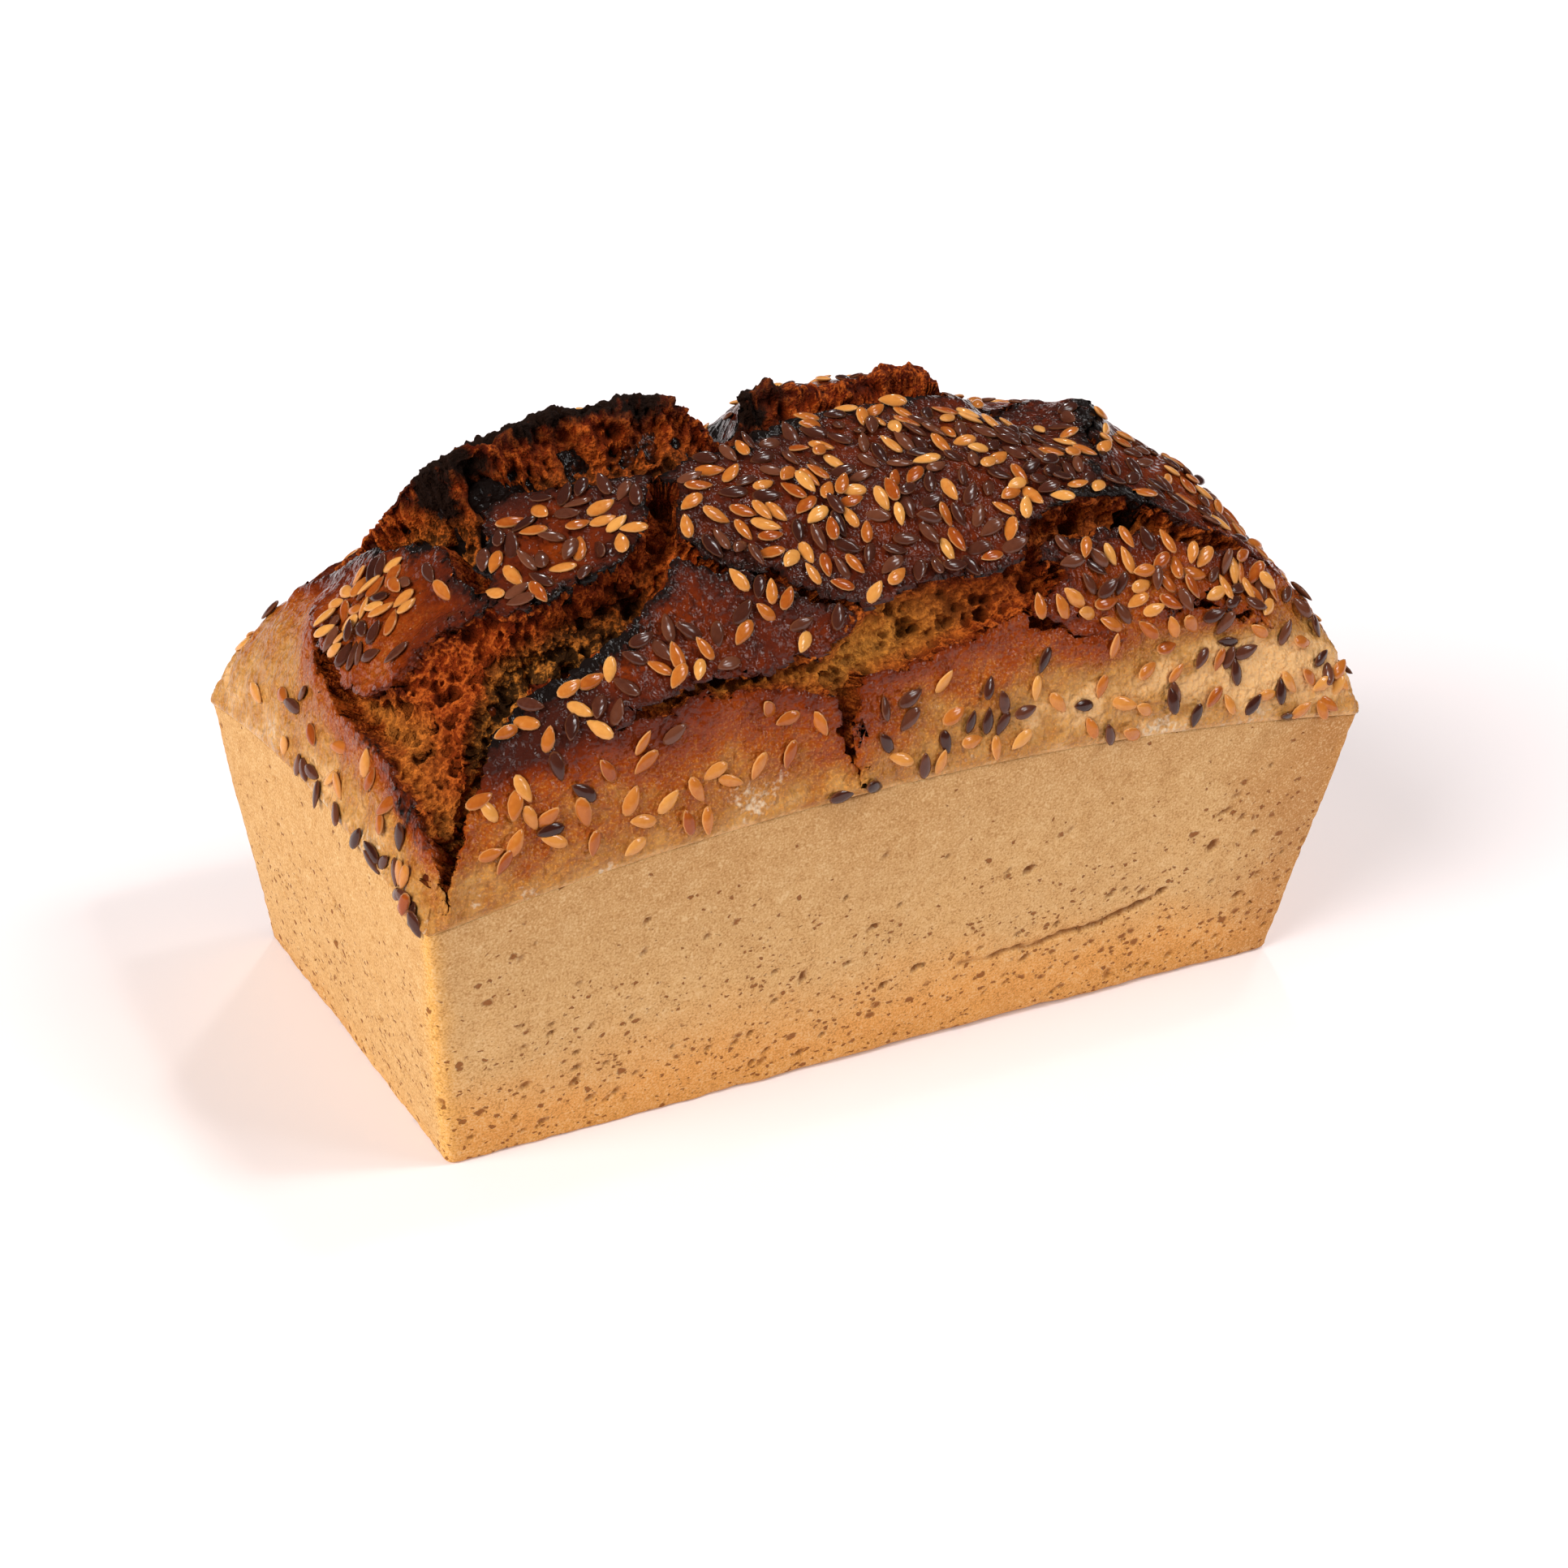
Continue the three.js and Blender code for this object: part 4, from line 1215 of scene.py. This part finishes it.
    def outward(self, crumb: Piece) -> Array:
        """The (n, 3) vertex normals of the sunk crumb."""
        return read_all(crumb.data.vertex_normals, "vector", 3, np.float32).astype(float)

    def foam(self, points: Array) -> Array:
        """Depth of the open bubbles of every size."""
        pulled = points + 0.5 * np.stack([noise(points, 1.9, 88 + k) for k in range(3)], axis=1)
        depth = np.zeros(len(points))
        for spacing, radius_share, deep, open_share in self.bubbles:
            distance = bubble_noise(pulled, spacing, int(spacing * 100))
            dome = np.sqrt(np.clip(1 - (distance / radius_share) ** 2, 0, 1))
            crowd = noise(points, 3 * spacing, int(spacing * 90))
            depth += deep * dome * smoothstep(crowd, -0.55, -0.55 + 1.2 * open_share)
        return depth

    def keep_only(self, crumb: Piece, kept: Array) -> None:
        """Deletes every cell that has no kept corner."""
        corners = read_all(crumb.data.polygons, "vertices", 4, int)
        with edit_mode(crumb, "FACE", ~kept[corners].any(axis=1)):
            bpy.ops.mesh.delete(type="FACE")

    def cave_depth(self, spots: Array, points: Array) -> Array:
        """Depth of the larger holes in the crumb, ragged at their rims."""
        depth = np.zeros(len(points))
        ragged = 0.35 * noise(points, 2.4, 94)
        for along, across, radius, deep in self.caves:
            away = np.hypot(spots[0] - along, spots[1] - across) / radius + ragged
            depth = np.maximum(depth, deep * np.sqrt(np.clip(1 - away**2, 0, 1)))
        return depth

    def char(self, spots: Array, points: Array, torn: TornPlaces) -> Array:
        """Burnt along the top of the standing crests, and a little along every lip."""
        height = points[:, 2]
        lower_left = 6 * smoothstep(spots[0], -46, -60)
        crest = sum_blobs(self.char_blobs, spots) * smoothstep(height + lower_left, 101.0, 111.0)
        crest += 0.45 * smoothstep(height, 113.0, 119.0) * smoothstep(spots[0], 0, -20)
        lip = 0.45 * smoothstep(torn.edge, -2.5, 0.5) * smoothstep(height, 82.0, 104.0)
        return np.clip((crest + lip) * (1 + noises(points, (0.8, 5.0, 87), (0.5, 1.6, 89))), 0, 1)


@dataclass(frozen=True)
class SeedPatch:
    """A patch of the crust where linseed fell: middle, reach, number of seeds and share of golden ones."""

    along: float
    across: float
    reach_along: float
    reach_across: float
    count: int
    golden: float


@dataclass(frozen=True)
class SeedPlace:
    """Where one seed lies over the crust, its turn, how far it is lifted, its tone and its kind."""

    along: float
    across: float
    turn: float
    lift: float
    tone: float
    golden: bool


@dataclass
class Linseed:
    """All linseed on the loaf, as one piece of golden and one of brown seeds."""

    burst: BurstCrust
    length: float = 5.2
    width: float = 2.6
    thickness: float = 1.15
    sides: int = 12
    bands: int = 6
    # how far apart seeds lie over the crust, and how many of the closer ones lie on top of others
    clearance: float = 1.95
    least_gap: float = 1.2
    stacked_share: float = 0.04
    stacked_lift: float = 0.75
    middle_lift: float = 0.42
    slope_step: float = 1.4
    tilt_degrees: float = 8.0
    roll_degrees: float = 10.0
    draw_seed: int = 20117
    patches: tuple[SeedPatch, ...] = tuple(SeedPatch(*row) for row in (
        (4, -29, 36, 25, 215, 0.50), (-49, -20, 15, 13, 48, 0.55), (-83, 3, 10, 13, 54, 0.55),
        (-44, -52, 32, 7, 28, 0.40), (-48, -72, 44, 13, 32, 0.85), (24, -76, 38, 12, 38, 0.62),
        (78, -76, 26, 12, 22, 0.60), (44, -55, 30, 10, 62, 0.72), (52, -22, 24, 20, 52, 0.45),
        (88, -34, 18, 30, 34, 0.60), (-112, -10, 10, 46, 20, 0.65), (112, 0, 9, 60, 30, 0.60),
        (20, 34, 60, 14, 80, 0.55), (-20, 66, 80, 16, 80, 0.65), (80, 40, 24, 30, 30, 0.60),
        (-121, -38, 2.4, 36, 12, 0.10), (33, -86, 4, 1.6, 4, 0.25), (-14, -86, 4, 1.5, 3, 0.0),
        (-60, -40, 40, 40, 8, 0.70),
    ))

    def places(self) -> list[SeedPlace]:
        """Draws the seeds patch by patch, clear of the tears, the rim and each other."""
        draw = np.random.default_rng(self.draw_seed)
        kept: list[SeedPlace] = []
        taken = np.full((1, 2), 999.0)
        for patch in self.patches:
            tries = patch.count * 40
            angle = draw.uniform(0, 2 * math.pi, tries)
            radius = np.sqrt(draw.random(tries))
            spots = np.stack([patch.along + patch.reach_along * radius * np.cos(angle),
                              patch.across + patch.reach_across * radius * np.sin(angle)])
            on_skin = (self.burst.torn(spots).edge > 0.6) & (self.burst.form.to_rim(spots) > 1.0)
            left = patch.count
            for along, across in spots.T[on_skin]:
                if left == 0:
                    break
                turn = draw.uniform(0, 2 * math.pi)
                ends = self.end_middles(along, across, turn)
                gap = np.min(np.linalg.norm(ends[:, None] - taken[None], axis=2))
                lift = draw.uniform(-0.1, 0.12)
                if gap < self.clearance:
                    if draw.random() > self.stacked_share or gap < self.least_gap:
                        continue
                    lift += self.stacked_lift
                kept.append(SeedPlace(along, across, turn, lift, draw.random(), draw.random() < patch.golden))
                taken = np.vstack([taken, ends])
                left -= 1
        return kept

    def end_middles(self, along: float, across: float, turn: float) -> Array:
        """The middle of a seed and of its two rounded halves, over the crust, as (3, 2) places."""
        reach = (self.length - self.width) / 2
        steps = np.array([[-reach], [0.0], [reach]])
        return np.array([[along, across]]) + steps * np.array([[math.cos(turn), math.sin(turn)]])

    def one_seed(self) -> Piece:
        """Shapes a single seed: a flat drop, rounded at one end and drawn to a point at the other."""
        select_only()
        bpy.ops.mesh.primitive_uv_sphere_add(segments=self.sides, ring_count=self.bands, radius=1)
        seed = bpy.context.object
        x, y, z = get_points(seed).T
        tip = np.clip(x, 0, 1)
        pointed = 1 - 0.42 * tip**1.5 + 0.06 * np.clip(-x, 0, 1)
        set_points(seed, np.stack([
            x * self.length / 2 * (1 + 0.06 * tip),
            (y * pointed + 0.12 * tip**3) * self.width / 2,
            z * self.thickness / 2 * (1 - 0.25 * tip),
        ], axis=1))
        # rim: the lighter edge, partly a painted sheen
        set_shades(seed, rim=smoothstep(np.hypot(x, y), 0.86, 1.0))
        return seed

    def build(self) -> list[Piece]:
        """Copies the seed to every place and joins each kind into one piece."""
        seed = self.one_seed()
        places = self.places()
        spots = np.array([[place.along, place.across] for place in places]).T
        middle = self.skin(spots)
        normal = normals_of(self.skin, spots, self.slope_step)
        pieces = []
        for kind in SeedKind:
            chosen = [k for k, place in enumerate(places) if place.golden == (kind is SeedKind.GOLDEN)]
            pieces.append(self.scatter(seed, kind, [places[k] for k in chosen], middle[chosen],
                                       normal[chosen]))
        bpy.data.objects.remove(seed)
        return pieces

    def skin(self, spots: Array) -> Array:
        """(n, 3) points of the finished skin."""
        edge = self.burst.torn(spots).edge
        return self.burst.form.over_dome(spots, self.burst.skin_height(spots, edge))

    def scatter(self, seed: Piece, kind: SeedKind, places: list[SeedPlace], middle: Array,
                normal: Array) -> Piece:
        """Joins copies of the seed, one at each place.

        Args:
            seed: the single seed.
            kind: golden or brown.
            places: the places to use.
            middle: (n, 3) points on the skin.
            normal: (n, 3) outward directions there.

        Returns:
            The joined piece.
        """
        draw = np.random.default_rng(self.draw_seed + len(places))
        shape = get_points(seed) / MM
        rim = read_all(seed.data.attributes["rim"].data, "value", kind=np.float32)
        faces = [tuple(face.vertices) for face in seed.data.polygons]
        points = []
        all_faces: list[tuple[int, ...]] = []
        for k, place in enumerate(places):
            size = draw.uniform(0.90, 1.10)
            tilt = math.radians(draw.normal(0, self.tilt_degrees))
            roll = math.radians(draw.normal(0, self.roll_degrees))
            turned = Vector((0, 0, 1)).rotation_difference(Vector(normal[k])).to_matrix()
            turned = turned @ (Matrix.Rotation(place.turn, 3, "Z") @ Matrix.Rotation(tilt, 3, "Y")
                               @ Matrix.Rotation(roll, 3, "X"))
            points.append(shape * size @ np.array(turned.transposed()) + middle[k]
                          + normal[k] * (self.middle_lift + place.lift))
            all_faces.extend(tuple(k * len(shape) + index for index in face) for face in faces)
        name = f"linseed_{kind.name.lower()}"
        mesh = bpy.data.meshes.new(name)
        mesh.from_pydata((np.vstack(points) * MM).tolist(), [], all_faces)
        piece = bpy.data.objects.new(name, mesh)
        bpy.context.scene.collection.objects.link(piece)
        set_shades(piece, tone=np.repeat([place.tone for place in places], len(shape)),
                   rim=np.tile(rim, len(places)))
        smooth_and_dress(piece, kind.value.build())
        return piece


# ---- the studio ----


@dataclass
class Studio:
    """Plain pale floor, soft lights and the camera."""

    floor_size: float = 8.0
    floor_glow: float = 0.11
    camera_turn: float = -30.3
    camera_rise: float = 28.4
    camera_roll: float = 3.14
    camera_distance: float = 0.644
    camera_target: tuple[float, float, float] = (-0.0026, -0.0048, 0.040)
    frame_pixels: float = 1932.0
    focal_pixels: float = 4000.0
    # the room is bright behind the loaf and overhead, and dimmer on the camera's side
    world_rise: float = 35.0
    world_dim: float = 0.17
    world_bright: float = 0.32
    # black flags keep the room out of the glossy skin
    world_mirrored: float = 0.15
    # name, azimuth and elevation it shines from, strength, how wide it looks in degrees, and whether it glints
    lights: tuple[tuple[str, float, float, float, float, bool], ...] = (
        ("left window", -78.0, 31.0, 3.1, 40.0, False),
        ("right window", 58.0, 54.0, 0.75, 15.0, True),
        ("right lamp", 50.0, 62.0, 0.28, 4.0, True),
        ("front window", 44.0, 34.0, 0.46, 14.0, True),
        ("back lamp", 150.0, 42.0, 0.42, 5.0, True),
        ("overhead lamp", 105.0, 66.0, 0.25, 5.0, True),
    )

    def build(self) -> None:
        """Adds the floor, the world's light, the lamps and the camera."""
        self.add_floor()
        self.add_world()
        for light in self.lights:
            self.add_light(*light)
        self.add_camera()
        bpy.context.scene.view_settings.view_transform = "Standard"

    def add_floor(self) -> None:
        """A white seamless sheet under the loaf."""
        select_only()
        bpy.ops.mesh.primitive_plane_add(size=self.floor_size)
        floor = bpy.context.object
        floor.name = "floor"
        material = bpy.data.materials.new("white paper")
        material.use_nodes = True
        paper = {"Base Color": linear("#EFE7E7"), "Roughness": 0.9, "Emission Color": linear("#FFF4F4"),
                 "Emission Strength": self.floor_glow}
        for name, value in paper.items():
            material.node_tree.nodes["Principled BSDF"].inputs[name].default_value = value
        floor.data.materials.append(material)

    def add_world(self) -> None:
        """White light from all round, brightest above the back of the loaf."""
        world = bpy.data.worlds.new("studio")
        world.use_nodes = True
        node = partial(add_node, world.node_tree)
        towards = node("VectorMath", (node("TexCoord", out="Generated"),
                                      self.direction(self.camera_turn + 180, self.world_rise)), "Value",
                       operation="DOT_PRODUCT")
        strength = node("MapRange", {"Value": towards, "From Min": -0.7, "From Max": 0.9,
                                     "To Min": self.world_dim, "To Max": self.world_bright})
        flagged = node("MapRange", {"Value": node("LightPath", out="Is Glossy Ray"), "To Min": 1.0,
                                    "To Max": self.world_mirrored})
        strength = node("Math", (strength, flagged), operation="MULTIPLY")
        background = world.node_tree.nodes["Background"]
        background.inputs["Color"].default_value = linear("#FFFDFB")
        world.node_tree.links.new(strength, background.inputs["Strength"])
        bpy.context.scene.world = world

    def direction(self, turn: float, rise: float) -> Vector:
        """Unit vector from the loaf towards an azimuth and elevation in degrees; azimuth 0 is the front."""
        azimuth = math.radians(turn)
        elevation = math.radians(rise)
        level = math.cos(elevation)
        return Vector((math.sin(azimuth) * level, -math.cos(azimuth) * level, math.sin(elevation)))

    def add_light(self, name: str, turn: float, rise: float, strength: float, width: float,
                  glints: bool) -> None:
        """Adds one row of lights: it falls evenly on loaf and floor, and mirrors in the skin if it glints."""
        data = bpy.data.lights.new(name, "SUN")
        data.energy = strength
        data.angle = math.radians(width)
        lamp = bpy.data.objects.new(name, data)
        lamp.visible_glossy = glints
        bpy.context.scene.collection.objects.link(lamp)
        lamp.rotation_euler = self.direction(turn, rise).to_track_quat("Z", "Y").to_euler()

    def add_camera(self) -> None:
        """The camera looks down on the near left corner, rolled by a few degrees."""
        back = self.direction(self.camera_turn, self.camera_rise)
        azimuth = math.radians(self.camera_turn)
        level = Vector((math.cos(azimuth), math.sin(azimuth), 0))
        upright = back.cross(level)
        roll = math.radians(self.camera_roll)
        right = math.cos(roll) * level + math.sin(roll) * upright
        up = math.cos(roll) * upright - math.sin(roll) * level
        data = bpy.data.cameras.new("camera")
        data.sensor_width = 36.0
        data.lens = data.sensor_width * self.focal_pixels / self.frame_pixels
        data.clip_start = 0.01
        data.clip_end = 20.0
        camera = bpy.data.objects.new("camera", data)
        bpy.context.scene.collection.objects.link(camera)
        turned = Matrix((right, up, back)).transposed().to_4x4()
        turned.translation = Vector(self.camera_target) + back * self.camera_distance
        camera.matrix_world = turned
        bpy.context.scene.camera = camera


def main() -> None:
    """Builds the loaf's pieces in order, then the studio."""
    logging.basicConfig(level=logging.INFO, format="%(name)s: %(message)s")
    burst = BurstCrust()
    pieces = [TinSide(burst.form).build(), DomedCrust(burst).build()]
    pieces += TornInside(burst).build()
    pieces += Linseed(burst).build()
    for piece in pieces:
        place_on_loaf(piece)
    Studio().build()


if __name__ == "__main__":
    main()
